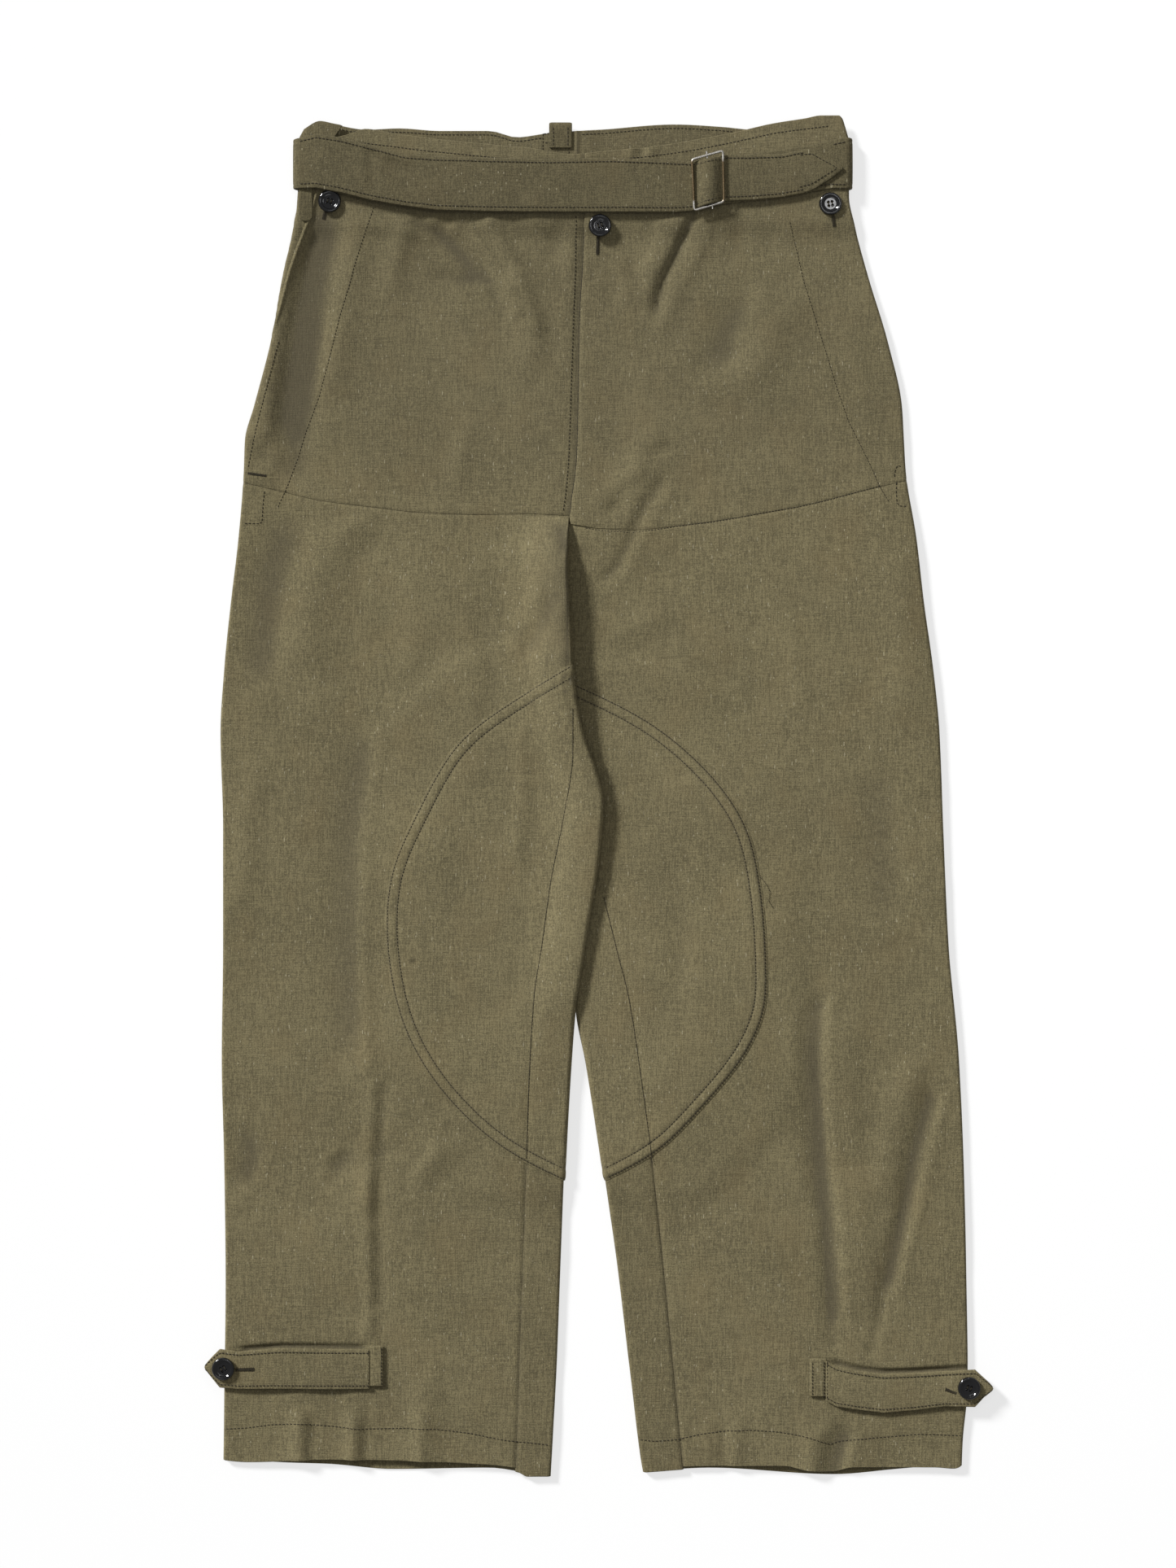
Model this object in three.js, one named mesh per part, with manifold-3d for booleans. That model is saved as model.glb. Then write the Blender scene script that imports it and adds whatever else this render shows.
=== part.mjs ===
// Motorcycle trousers laid flat, front up, waist towards +Y. Millimetres, +Z up, floor at z = 0.
// The wearer's right is at -X. Every panel is a cloth wall taken from flattened tube sections.
import * as THREE from 'three';
import Module from 'manifold-3d';
import { mergeVertices } from 'three/addons/utils/BufferGeometryUtils.js';

// Cloth and layer sizes
const CLOTH = 1.2;
const SEAM_GAP = 0.3;
const LOFT = 5;
const EDGE_ROUND = 2.5;
const PATCH_CLOTH = 1;
const PATCH_GAP = 0.75;
const PATCH_SLACK = 1.7;
const WAIST_STEP = { from: 430, to: 446 };
const LOOP_SPREAD = 22;
const STRAP_CLOTH = 2;
const LOOP_CLOTH = 1.2;
const FOLD_DEPTH = 1.9;

// Landmarks
const HALF_WIDTH = 304.3;
const HALF_LENGTH = 526.2;
const CROTCH_X = -22;
const CROTCH_Y = 216;
const LOOP_X = -29.5;
const LOOP_WIDTH = 17;

function table(columns, rows) {
  return rows.map((row) => Object.fromEntries(columns.map((name, i) => [name, row[i]])));
}

// Outer silhouette: a row for each height, from the waist down to the hem
const SIDES = table(['y', 'left', 'right'], [
  [527, -222, 188],
  [514, -230, 192],
  [506, -233.3, 193.8],
  [464, -233.3, 193.8],
  [443, -236, 198],
  [402, -245, 209],
  [352, -254, 224],
  [302, -267, 235],
  [276, -274, 236.5],
  [251, -275, 238],
  [201, -279, 246],
  [150, -285, 252],
  [100, -290, 259],
  [50, -293, 264],
  [-26, -291, 267],
  [-114, -291, 271],
  [-202, -292, 279],
  [-291, -290, 283],
  [-379, -289, 285],
  [-454, -290, 286],
  [-500, -290.5, 282],
  [-527, -291, 281],
]);

// Inner edge of each leg; the right leg lies over the left one down to about y = -160
const INNER = table(['y', 'right', 'left'], [
  [217, -22.3, -21.7],
  [200, -23.4, -22.7],
  [184, -24, -26],
  [138, -22, -30],
  [94, -20, -29],
  [50, -13, -22],
  [18, -2, -11],
  [-5, 3, -7],
  [-45, 0, -10],
  [-102, -9, -17],
  [-135, -14, -18],
  [-163, -18.5, -17],
  [-207, -22, -9],
  [-278, -26, 2],
  [-354, -29, 13],
  [-447, -32.5, 24],
  [-511, -36, 32],
  [-527, -37, 35],
]);

// Inseam on the front of each leg, where the back panel wraps round to it
const INSEAM = table(['y', 'right', 'left'], [
  [71, -20, -19],
  [35, -20, -10],
  [-15, -27, -2],
  [-65, -37, 2],
  [-115, -44, 13],
  [-155, -50, 23],
  [-220, -54, 33],
  [-297, -56.5, 43],
  [-527, -64.5, 66],
]);

// How high the right leg's inner edge is carried over the left leg
const ARCH = table(['y', 'lift'], [
  [217, 0],
  [200, 5],
  [184, 8],
  [150, 10],
  [50, 10.5],
  [-45, 10],
  [-102, 9],
  [-145, 8],
  [-160, 7],
  [-175, 4.5],
  [-200, 1],
  [-225, 0],
]);
const ARCH_SPAN = table(['at', 'share'], [
  [-50, 0],
  [-36, 0.18],
  [-20, 0.78],
  [-9, 1],
]);

// Waist edges, from the wearer's right to left
const WAIST_FRONT = table(['x', 'y'], [
  [-240, 505],
  [-211, 508],
  [-193, 512],
  [-181, 516],
  [-161, 513],
  [-125, 508],
  [-85, 504],
  [-54, 501],
  [-21, 496],
  [9, 499],
  [41, 502],
  [72, 507],
  [104, 513],
  [135, 520],
  [160, 524],
  [172, HALF_LENGTH],
  [186, HALF_LENGTH],
  [191, 521],
  [200, 510],
]);
const WAIST_BACK = table(['x', 'y'], [
  [-240, 508],
  [-228, 516],
  [-216, 522],
  [-205, 520],
  [-180, 516],
  [-155, 517],
  [-123, 515],
  [-85, 515],
  [-63, 510],
  [-38, 513],
  [3, 516],
  [59, 520],
  [97, 518],
  [119, 516],
  [167, 522],
  [188, 520],
  [200, 510],
]);

// Cross seam between the upper fronts and the leg fronts
const CROSS = {
  right: table(['x', 'y'], [
    [-280, 244],
    [-246, 236],
    [-216, 229],
    [-177, 224],
    [-137, 219.5],
    [-96, 218],
    [-54, 218.5],
    [-20, 217],
  ]),
  left: table(['x', 'y'], [
    [-24, 211],
    [3, 207],
    [25, 206],
    [63, 209.5],
    [109, 216],
    [154, 224],
    [199, 235],
    [245, 246],
  ]),
};

// Fly edge, where the left upper front meets the right one
const FLY = table(['y', 'x'], [
  [530, -10],
  [449, -10.7],
  [409, -12],
  [377, -14],
  [264, -16.5],
  [CROTCH_Y, CROTCH_X],
  [190, CROTCH_X - 1],
]);

// Hem edges of the fronts and of the backs
const HEM_FRONT = table(['x', 'y'], [
  [-295, -513],
  [-272, -515],
  [-209, -513],
  [-148, -514],
  [-85, -517],
  [-53, -521],
  [-37, -523],
  [34, -521],
  [56, -519],
  [86, -518],
  [143, -518],
  [162, -521.5],
  [182, -522.5],
  [196, -519],
  [260, -519],
  [275, -520],
  [285, -516],
]);
const HEM_BACK = table(['x', 'y'], [
  [-295, -513],
  [-240, -516],
  [-209, -517],
  [-160, -521],
  [-85, -520],
  [-62, -523],
  [-55, -HALF_LENGTH],
  [-30, -HALF_LENGTH],
  [34, -523],
  [86, -520],
  [182, -525],
  [230, -521],
  [285, -516],
]);

// Front edge of the side opening on the wearer's right, where the back strip shows outside it
const SIDE_OPENING = table(['y', 'x'], [
  [527, -193],
  [503, -208],
  [468, -219],
  [445, -226],
  [424, -234],
  [403, -241],
  [380, -247],
  [358, -253],
]);

// Outer boundary of the oval inner leg patches on the front
const PATCH = {
  right: table(['y', 'x'], [
    [100, -40],
    [86, -54],
    [73, -69],
    [60, -91],
    [43, -110],
    [14, -128],
    [-16, -143],
    [-57, -161],
    [-90, -165.5],
    [-114, -165],
    [-144, -161],
    [-170, -155],
    [-194, -145],
    [-219, -130],
    [-243, -110],
    [-263, -89],
    [-278, -69],
    [-290, -56],
    [-297, -49],
  ]),
  left: table(['y', 'x'], [
    [88, -8],
    [80, 4],
    [70, 22],
    [57, 44],
    [45, 59],
    [12, 93],
    [-27, 117],
    [-70, 126],
    [-114, 130],
    [-159, 131],
    [-176, 126],
    [-198, 116],
    [-224, 96],
    [-248, 74],
    [-267, 57],
    [-281, 42],
    [-290, 32],
    [-297, 25],
  ]),
};

// Soft troughs and ridges of the laid cloth: a path, a half width and a height
const FOLDS = [
  { height: -2.6, width: 15, path: [[-213, 440], [-221, 409], [-229, 365], [-237, 314], [-243, 264]] },
  { height: 1.8, width: 14, path: [[-190, 430], [-200, 365], [-212, 300]] },
  { height: -2, width: 9, path: [[-120, 440], [-98, 409], [-88, 390]] },
  { height: -1.8, width: 8, path: [[-95, 445], [-73, 409], [-66, 392]] },
  { height: 2.4, width: 13, path: [[-92, 440], [-54, 371], [-48, 321]] },
  { height: 2.6, width: 11, path: [[62, 442], [46, 406], [30, 372]] },
  { height: -2.4, width: 9, path: [[76, 442], [60, 406], [48, 380], [42, 352]] },
  { height: -2.2, width: 16, path: [[126, 393], [107, 365], [94, 339], [85, 317]] },
  { height: 1.8, width: 18, path: [[150, 400], [128, 350], [112, 300]] },
  { height: -2.6, width: 9, path: [[58, 276], [44, 262]] },
  { height: 3, width: 14, path: [[40, 268], [22, 240], [12, 222]] },
  { height: -3, width: 9, path: [[56, 270], [41, 245], [27, 207], [6, 178]] },
  { height: -2.4, width: 18, path: [[-232, 232], [-250, 176], [-258, 113], [-265, 69]] },
  { height: 2, width: 20, path: [[-200, 220], [-222, 150], [-236, 80]] },
  { height: 1.4, width: 28, path: [[-122, 40], [-130, -40], [-135, -120], [-138, -200]] },
  { height: -2, width: 20, path: [[-176, 71], [-190, -27], [-192, -113], [-190, -190], [-186, -219]] },
  { height: -2.4, width: 12, path: [[-276, -246], [-266, -275], [-276, -312]] },
  { height: 2.2, width: 12, path: [[-115, -262], [-148, -303]] },
  { height: -2, width: 10, path: [[-185, -272], [-213, -293]] },
  { height: 1.8, width: 10, path: [[-181, -285], [-179, -328]] },
  { height: 2, width: 11, path: [[-228, -470], [-229, -515]] },
  { height: 2, width: 10, path: [[-186, -470], [-188, -515]] },
  { height: 1.8, width: 11, path: [[-134, -440], [-136, -515]] },
  { height: -3.2, width: 12, path: [[187, -133], [166, -195], [172, -273], [178, -327], [184, -415]] },
  { height: 3, width: 14, path: [[205, -150], [190, -200], [196, -273], [201, -327], [206, -410]] },
  { height: -2.4, width: 12, path: [[262, -221], [247, -273], [239, -315], [222, -390]] },
  { height: 2.2, width: 14, path: [[250, -190], [226, -260], [216, -320]] },
  { height: -2.6, width: 8, path: [[199, -486], [188, -500], [183, -522]] },
  { height: 2, width: 9, path: [[168, -484], [164, -522]] },
  { height: 1.6, width: 16, path: [[232, 205], [238, 120], [236, 40]] },
  { height: -1.6, width: 16, path: [[215, 40], [218, -40], [222, -110]] },
];

// Belt strap along its front run, wearer's right to left, with the height of its lower face
const BELT_FRONT = table(['x', 'top', 'bottom', 'z'], [
  [-231, 508, 470, 9.6],
  [-218, 511, 470, 11],
  [-199, 508, 466.3, 11.6],
  [-176, 502, 460.5, 11.6],
  [-150, 495, 456, 11.6],
  [-125, 493.5, 452.8, 11.6],
  [-85, 492.5, 451.8, 11.4],
  [-38, 491.5, 451.5, 11.2],
  [9, 492.5, 451.5, 11],
  [40, 491.5, 451.5, 10.6],
  [60, 490.6, 451.5, 9.9],
  [72, 490, 452.4, 9.6],
  [75.5, 490.2, 454.3, 10],
  [79, 490.6, 455.3, 12.3],
  [82.4, 491.2, 456.3, 14.3],
  [85.5, 491.8, 457.1, 14.7],
  [88.6, 492.4, 457.9, 14.3],
  [92, 493, 459, 11.8],
  [95.5, 494, 459.7, 10.05],
  [99, 495, 460, 10],
  [120, 495, 461, 10],
  [141, 495.5, 463, 10],
  [158, 499, 466, 10],
  [166, 500, 469, 10],
  [178, 492.4, 476.6, 10],
  [188, 486.2, 483.8, 10],
]);
// The strap's first stretch, from the buckle's centre bar to the wearer's left side
const BELT_START = table(['x', 'top', 'bottom', 'z'], [
  [87, 491, 456.5, 7.7],
  [110, 495, 459.5, 7.7],
  [141, 499.5, 462.5, 7.7],
  [165, 503, 467.5, 7.7],
  [180, 507, 470, 7.7],
  [191, 509, 470, 7.7],
]);
// The strap under the back
const BELT_BACK = table(['x', 'top', 'bottom', 'z'], [
  [191, 508.5, 470, STRAP_CLOTH],
  [130, 507, 469, STRAP_CLOTH],
  [60, 505, 467, STRAP_CLOTH],
  [0, 504, 466, STRAP_CLOTH],
  [-12, 504, 466, STRAP_CLOTH],
  [-19, 504, 466, STRAP_CLOTH + LOOP_CLOTH + SEAM_GAP],
  [-40, 504, 466, STRAP_CLOTH + LOOP_CLOTH + SEAM_GAP],
  [-47, 504, 466, STRAP_CLOTH],
  [-80, 504.5, 466.5, STRAP_CLOTH],
  [-150, 505.5, 468, STRAP_CLOTH],
  [-231, 507, 470, STRAP_CLOTH],
]);
const BELT_BEND = 3.4;

// Buckle wire: centre line corners, a rectangle of 25 by 41 mm seen slightly skewed
const WIRE_RADIUS = 0.9;
const BUCKLE = table(['x', 'y', 'z'], [
  [71.9, 491.2, 12.8],
  [95.7, 497.9, 13.3],
  [96.5, 458.6, 13.3],
  [73.6, 452, 12.8],
]);
const BUCKLE_BAR = table(['x', 'y', 'z'], [
  [83.7, 495.2, 13.05],
  [87, 455.4, 13.05],
]);

// Ankle tabs: from the keeper to the pointed tip
const TAB = {
  right: {
    keeper: { x0: -167, x1: -177, top: -425.5, bottom: -455.5 },
    rows: table(['x', 'top', 'bottom'], [
      [-177.6, -428, -458],
      [-212, -427.6, -458],
      [-246, -427, -457.6],
      [-278, -429.5, -457.8],
      [-293, -427.6, -456.6],
      [-298, -432.5, -450.5],
      [-HALF_WIDTH, -439.5, -442.5],
    ]),
    button: [-290, -442],
  },
  left: {
    keeper: { x0: 163.5, x1: 175.5, top: -435.5, bottom: -463.5 },
    rows: table(['x', 'top', 'bottom'], [
      [176.1, -436.5, -467.5],
      [184, -441, -471.5],
      [198, -444, -473.5],
      [220, -447, -476.2],
      [245, -446.2, -474],
      [267, -444.8, -471.2],
      [291, -443.5, -471.6],
      [298, -450, -464],
      [HALF_WIDTH, -456, -459],
    ]),
    button: [286, -457],
  },
};
const TAB_STAND = 1.2;
const TAB_LIFT = SEAM_GAP + 0.5;
const KEEPER_LIFT = SEAM_GAP + 0.4;

const BUTTON_RADIUS = 8.8;
const BUTTON_HEIGHT = 3;

// Smooth curve through a table: value of one column at a place in another
function follow(rows, key, value, at = 'y') {
  const up = rows[rows.length - 1][at] > rows[0][at];
  const list = up ? rows : [...rows].reverse();
  const n = list.length;
  if (value <= list[0][at]) return list[0][key];
  if (value >= list[n - 1][at]) return list[n - 1][key];
  let i = 0;
  while (value > list[i + 1][at]) i += 1;
  const slope = (j) => (list[j + 1][key] - list[j][key]) / (list[j + 1][at] - list[j][at]);
  const here = slope(i);
  const before = i > 0 ? slope(i - 1) : here;
  const after = i < n - 2 ? slope(i + 1) : here;
  const blend = (a, b) => (a * b <= 0 ? 0 : (2 * a * b) / (a + b));
  const m0 = blend(before, here);
  const m1 = blend(here, after);
  const h = list[i + 1][at] - list[i][at];
  const t = (value - list[i][at]) / h;
  const t2 = t * t;
  const t3 = t2 * t;
  return (2 * t3 - 3 * t2 + 1) * list[i][key] + (t3 - 2 * t2 + t) * h * m0
    + (3 * t2 - 2 * t3) * list[i + 1][key] + (t3 - t2) * h * m1;
}

function ease(from, to, value) {
  const t = Math.min(Math.max((value - from) / (to - from), 0), 1);
  return t * t * (3 - 2 * t);
}

// Distance from a point to a fold's path
function pathDistance(path, x, y) {
  let best = Infinity;
  for (let i = 0; i + 1 < path.length; i += 1) {
    const [ax, ay] = path[i];
    const dx = path[i + 1][0] - ax;
    const dy = path[i + 1][1] - ay;
    const t = Math.min(Math.max(((x - ax) * dx + (y - ay) * dy) / (dx * dx + dy * dy), 0), 1);
    best = Math.min(best, Math.hypot(x - ax - t * dx, y - ay - t * dy));
  }
  return best;
}

function foldHeight(x, y) {
  let total = 0;
  for (const fold of FOLDS) {
    const d = pathDistance(fold.path, x, y) / fold.width;
    if (d < 2.5) total += fold.height * Math.exp(-d * d);
  }
  return total < 0 ? -FOLD_DEPTH * Math.tanh(-total / FOLD_DEPTH) : total;
}

const isLeg = (y) => y < CROTCH_Y;

// Left and right limits of the flattened tube that carries this half at height y
function limits(half, y) {
  const left = follow(SIDES, 'left', y);
  const right = follow(SIDES, 'right', y);
  if (!isLeg(y)) return { left, right };
  if (half === 'right') return { left, right: follow(INNER, 'right', y) };
  return { left: follow(INNER, 'left', y), right };
}

// Width of the patch from the folded inner edge at height y
function patchWidth(half, y) {
  const rows = PATCH[half];
  const edge = follow(INNER, half, y);
  return Math.abs(edge - follow(rows, 'x', y));
}

// Height of the underside: raised over the belt, the loop, the hidden patch and the other leg
const PATCH_RISE = { along: 22, margin: 4, reach: 38, near: 10, far: 44 };
function underside(half, x, y) {
  const waist = ease(WAIST_STEP.from, WAIST_STEP.to, y);
  let z = (STRAP_CLOTH + SEAM_GAP) * waist;
  const loopNear = 1 - ease(LOOP_WIDTH, LOOP_WIDTH + LOOP_SPREAD, Math.abs(x - LOOP_X));
  z += (LOOP_CLOTH + SEAM_GAP) * waist * loopNear;
  if (!isLeg(y)) return z;
  const edge = follow(INNER, half, y);
  const inward = half === 'right' ? edge - x : x - edge;
  const rows = PATCH[half];
  const high = rows[0].y;
  const low = rows[rows.length - 1].y;
  const { along, margin, reach, near, far } = PATCH_RISE;
  const fromHem = ease(low - margin - along, low - margin, y);
  const span = fromHem * (1 - ease(high + margin, high + margin + along, y));
  const widths = [-reach, 0, reach].map((step) => patchWidth(half, Math.min(Math.max(y + step, low), high)));
  const width = Math.max(...widths);
  z += (PATCH_CLOTH + PATCH_GAP) * span * (1 - ease(width + near, width + far, inward));
  if (half === 'right') {
    z += follow(ARCH, 'lift', y) * follow(ARCH_SPAN, 'share', -inward, 'at');
  }
  return z;
}

// Height of the upper face before the edges round off
function upperside(half, x, y) {
  return underside(half, x, y) + LOFT + foldHeight(x, y);
}

// Closed section of the flattened tube: under the cloth from the outer edge inwards, back over it
const EDGE_STEPS = 7;
const FLAT_STEPS = 44;
const NORMAL_REACH = 0.35;
function section(half, y) {
  const { left, right } = limits(half, y);
  const out = half === 'right' ? left : right;
  const far = half === 'right' ? right : left;
  const sign = Math.sign(far - out);
  const width = Math.abs(far - out);
  const farRound = isLeg(y) ? EDGE_ROUND * ease(-6, 24, CROTCH_Y - y) + 0.2 : EDGE_ROUND;
  const stations = [];
  for (let i = 0; i <= EDGE_STEPS; i += 1) {
    stations.push(EDGE_ROUND * (1 - Math.cos((i / EDGE_STEPS) * Math.PI / 2)));
  }
  for (let i = 1; i < FLAT_STEPS; i += 1) {
    stations.push(EDGE_ROUND + (width - EDGE_ROUND - farRound) * (i / FLAT_STEPS));
  }
  for (let i = EDGE_STEPS; i >= 0; i -= 1) {
    stations.push(width - farRound * (1 - Math.cos((i / EDGE_STEPS) * Math.PI / 2)));
  }
  const under = [];
  const over = [];
  for (const d of stations) {
    const x = out + sign * d;
    const low = underside(half, x, y);
    const high = upperside(half, x, y);
    const nearRound = d < width / 2 ? Math.min(d / EDGE_ROUND, 1) : Math.min((width - d) / farRound, 1);
    const cap = Math.sqrt(1 - (1 - nearRound) ** 2);
    const middle = (low + high) / 2;
    under.push({ x, z: middle - (middle - low) * cap });
    over.push({ x, z: middle + (high - middle) * cap });
  }
  const points = [...under, ...over.reverse().slice(1)];
  const arc = [0];
  for (let i = 1; i < points.length; i += 1) {
    arc.push(arc[i - 1] + Math.hypot(points[i].x - points[i - 1].x, points[i].z - points[i - 1].z));
  }
  const turn = stations.length - 1;
  const total = arc[arc.length - 1];
  const wrap = (s) => (s < 0 ? s + total : s > total ? s - total : s);
  const placeAt = (s) => {
    const w = wrap(s);
    let lo = 0;
    let hi = arc.length - 1;
    while (hi - lo > 1) {
      const mid = (lo + hi) >> 1;
      if (arc[mid] <= w) lo = mid;
      else hi = mid;
    }
    const t = (w - arc[lo]) / Math.max(arc[hi] - arc[lo], 1e-9);
    return {
      x: points[lo].x + (points[hi].x - points[lo].x) * t,
      z: points[lo].z + (points[hi].z - points[lo].z) * t,
    };
  };
  const at = (s) => {
    const here = placeAt(s);
    const a = placeAt(s - NORMAL_REACH);
    const b = placeAt(s + NORMAL_REACH);
    const length = Math.hypot(b.x - a.x, b.z - a.z);
    const nx = (sign * (b.z - a.z)) / length;
    const nz = (-sign * (b.x - a.x)) / length;
    return { ...here, nx, nz };
  };
  const arcBetween = (first, last, x, outside) => {
    for (let i = first; i < last; i += 1) {
      const a = points[i];
      const b = points[i + 1];
      const share = (x - a.x) / ((b.x - a.x) || 1);
      if ((x - a.x) * (x - b.x) <= 0) return arc[i] + (arc[i + 1] - arc[i]) * share;
    }
    return (x - out) * sign < 0 ? outside : arc[turn];
  };
  const arcOnTop = (x) => arcBetween(turn, points.length - 1, x, total);
  const arcBelow = (x) => arcBetween(0, turn, x, 0);
  return { at, arcOnTop, arcBelow, total, edge: arc[turn], out, far, sign };
}

// Arc of the seam between back and front at the outer side; it moves to the top at the side opening
function sideArc(half, y, loop) {
  if (half !== 'right' || y < SIDE_OPENING[SIDE_OPENING.length - 1].y) return 0;
  return loop.arcOnTop(follow(SIDE_OPENING, 'x', y)) - loop.total;
}

// Arc of the inner boundary: the centre back seam above the crotch, the inseam below it
const INSEAM_START = 71;
const INSEAM_WRAP = 5.5;
const SEAT_SEAM_TOP = 264;
function innerArc(half, y, loop) {
  if (!isLeg(y)) return loop.arcBelow(follow(FLY, 'x', Math.min(y, SEAT_SEAM_TOP)));
  if (y > INSEAM_START) return loop.edge + INSEAM_WRAP * ease(CROTCH_Y, INSEAM_START, y);
  return Math.max(loop.edge + INSEAM_WRAP, loop.arcOnTop(follow(INSEAM, half, y)));
}

// Wall between two grids of points, closed along its four rims
function wall(outer, inner) {
  const rows = outer.length;
  const cols = outer[0].length;
  const position = [];
  for (const grid of [outer, inner]) {
    for (const row of grid) for (const p of row) position.push(p[0], p[1], p[2]);
  }
  const id = (side, r, c) => side * rows * cols + r * cols + c;
  const index = [];
  const quad = (a, b, c, d) => index.push(a, b, c, a, c, d);
  for (let r = 0; r + 1 < rows; r += 1) {
    for (let c = 0; c + 1 < cols; c += 1) {
      quad(id(0, r, c), id(0, r, c + 1), id(0, r + 1, c + 1), id(0, r + 1, c));
      quad(id(1, r, c), id(1, r + 1, c), id(1, r + 1, c + 1), id(1, r, c + 1));
    }
  }
  for (let c = 0; c + 1 < cols; c += 1) {
    quad(id(0, 0, c), id(1, 0, c), id(1, 0, c + 1), id(0, 0, c + 1));
    quad(id(0, rows - 1, c), id(0, rows - 1, c + 1), id(1, rows - 1, c + 1), id(1, rows - 1, c));
  }
  for (let r = 0; r + 1 < rows; r += 1) {
    quad(id(0, r, 0), id(0, r + 1, 0), id(1, r + 1, 0), id(1, r, 0));
    quad(id(0, r, cols - 1), id(1, r, cols - 1), id(1, r + 1, cols - 1), id(0, r + 1, cols - 1));
  }
  const geometry = new THREE.BufferGeometry();
  geometry.setAttribute('position', new THREE.Float32BufferAttribute(position, 3));
  geometry.setIndex(index);
  return outward(geometry);
}

// Faces turned so that the closed body has a positive volume
function outward(geometry) {
  const p = geometry.attributes.position;
  const index = geometry.index.array;
  const a = new THREE.Vector3();
  const b = new THREE.Vector3();
  const c = new THREE.Vector3();
  let volume = 0;
  for (let i = 0; i < index.length; i += 3) {
    a.fromBufferAttribute(p, index[i]);
    b.fromBufferAttribute(p, index[i + 1]);
    c.fromBufferAttribute(p, index[i + 2]);
    volume += a.dot(b.cross(c));
  }
  if (volume < 0) {
    for (let i = 0; i < index.length; i += 3) {
      [index[i], index[i + 1]] = [index[i + 1], index[i]];
    }
  }
  geometry.computeVertexNormals();
  return geometry;
}

// Panel from heights along its length, the arcs of its columns, and its two faces as offsets outwards
function panel({ half, heights, low, high, arcs, reach = 60, faces = [0, -CLOTH], slack = () => 0 }) {
  const bottom = heights[0];
  const top = heights[heights.length - 1];
  const columns = arcs(section(half, bottom), bottom).length;
  const grids = faces.map(() => []);
  for (const height of heights) {
    const nearLow = 1 - ease(bottom, bottom + reach, height);
    const nearHigh = ease(top - reach, top, height);
    const rows = faces.map(() => []);
    for (let c = 0; c < columns; c += 1) {
      let y = height;
      for (let pass = 0; pass < 3; pass += 1) {
        const loop = section(half, y);
        const { x } = loop.at(arcs(loop, y)[c]);
        y = height + (low(x) - bottom) * nearLow + (high(x) - top) * nearHigh;
      }
      const loop = section(half, y);
      const p = loop.at(arcs(loop, y)[c]);
      faces.forEach((face, i) => {
        const out = face + slack(p, y);
        rows[i].push([p.x + p.nx * out, y, p.z + p.nz * out]);
      });
    }
    rows.forEach((row, i) => grids[i].push(row));
  }
  return wall(grids[0], grids[1]);
}

// Arcs spread over stretches: pairs of an end arc and a number of steps, after the first arc
function stretches(first, ...parts) {
  const list = [first];
  let from = first;
  for (const [to, steps] of parts) {
    for (let i = 1; i <= steps; i += 1) list.push(from + (to - from) * (i / steps));
    from = to;
  }
  return list;
}

const ROUND_ARC = 4.2;
const SLOPE_ARC = 44;
const BEND = { beforeEdge: 6, beforeSeam: 9, inside: 0.75, pastEdge: 5 };
const FLAT = { pastEdge: 7, pastSeam: 4 };

// Arcs that panels and patches share near the inner boundary
function landmarks(half, y, loop) {
  const seam = innerArc(half, y, loop);
  const beforeSeam = seam - BEND.beforeSeam;
  const bend = isLeg(y) ? Math.min(loop.edge - BEND.beforeEdge, beforeSeam) : beforeSeam;
  const inside = bend + BEND.inside * (seam - bend);
  const strip = isLeg(y) ? Math.min(loop.edge + BEND.pastEdge, inside) : inside;
  return { seam, bend, strip, flat: Math.max(loop.edge + FLAT.pastEdge, seam + FLAT.pastSeam) };
}

function backArcs(half) {
  return (loop, y) => {
    const { seam, bend, strip } = landmarks(half, y, loop);
    const start = sideArc(half, y, loop) + SEAM_GAP / 2;
    const end = seam - SEAM_GAP / 2;
    return stretches(start, [ROUND_ARC, 2], [bend - SLOPE_ARC, 5], [bend, 5], [strip, 5], [end, 2]);
  };
}

// Extra room at the open side, where the front's folded edge lies beside the back strip
const overlap = (half, y) => (half === 'right' ? ease(335, 352, y) : 0);

// The leg fronts start beside each other at the crotch and part to their inseams below it
const CROTCH_PART = { half: 0.4, settle: 40 };
function legFrontArcs(half) {
  return (loop, y) => {
    const end = loop.total + sideArc(half, y, loop) - SEAM_GAP / 2;
    const crest = loop.arcOnTop(CROTCH_X + (half === 'right' ? -CROTCH_PART.half : CROTCH_PART.half));
    const seam = isLeg(y) ? innerArc(half, y, loop) : crest;
    const settled = ease(0, CROTCH_PART.settle, CROTCH_Y - y);
    const start = crest + (seam - crest) * settled + SEAM_GAP / 2;
    const flat = Math.max(loop.edge + FLAT.pastEdge, start + FLAT.pastSeam);
    const outer = [[loop.total - ROUND_ARC, 13], [end - overlap(half, y), 2]];
    return stretches(start, [flat, 3], [flat + SLOPE_ARC, 2], ...outer);
  };
}

function upperFrontArcs(half) {
  return (loop, y) => {
    const start = loop.arcOnTop(follow(FLY, 'x', y)) + SEAM_GAP / 2;
    const end = loop.total + sideArc(half, y, loop) - SEAM_GAP / 2;
    return stretches(start, [end - 5, 11], [end - overlap(half, y), 2]);
  };
}

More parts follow.
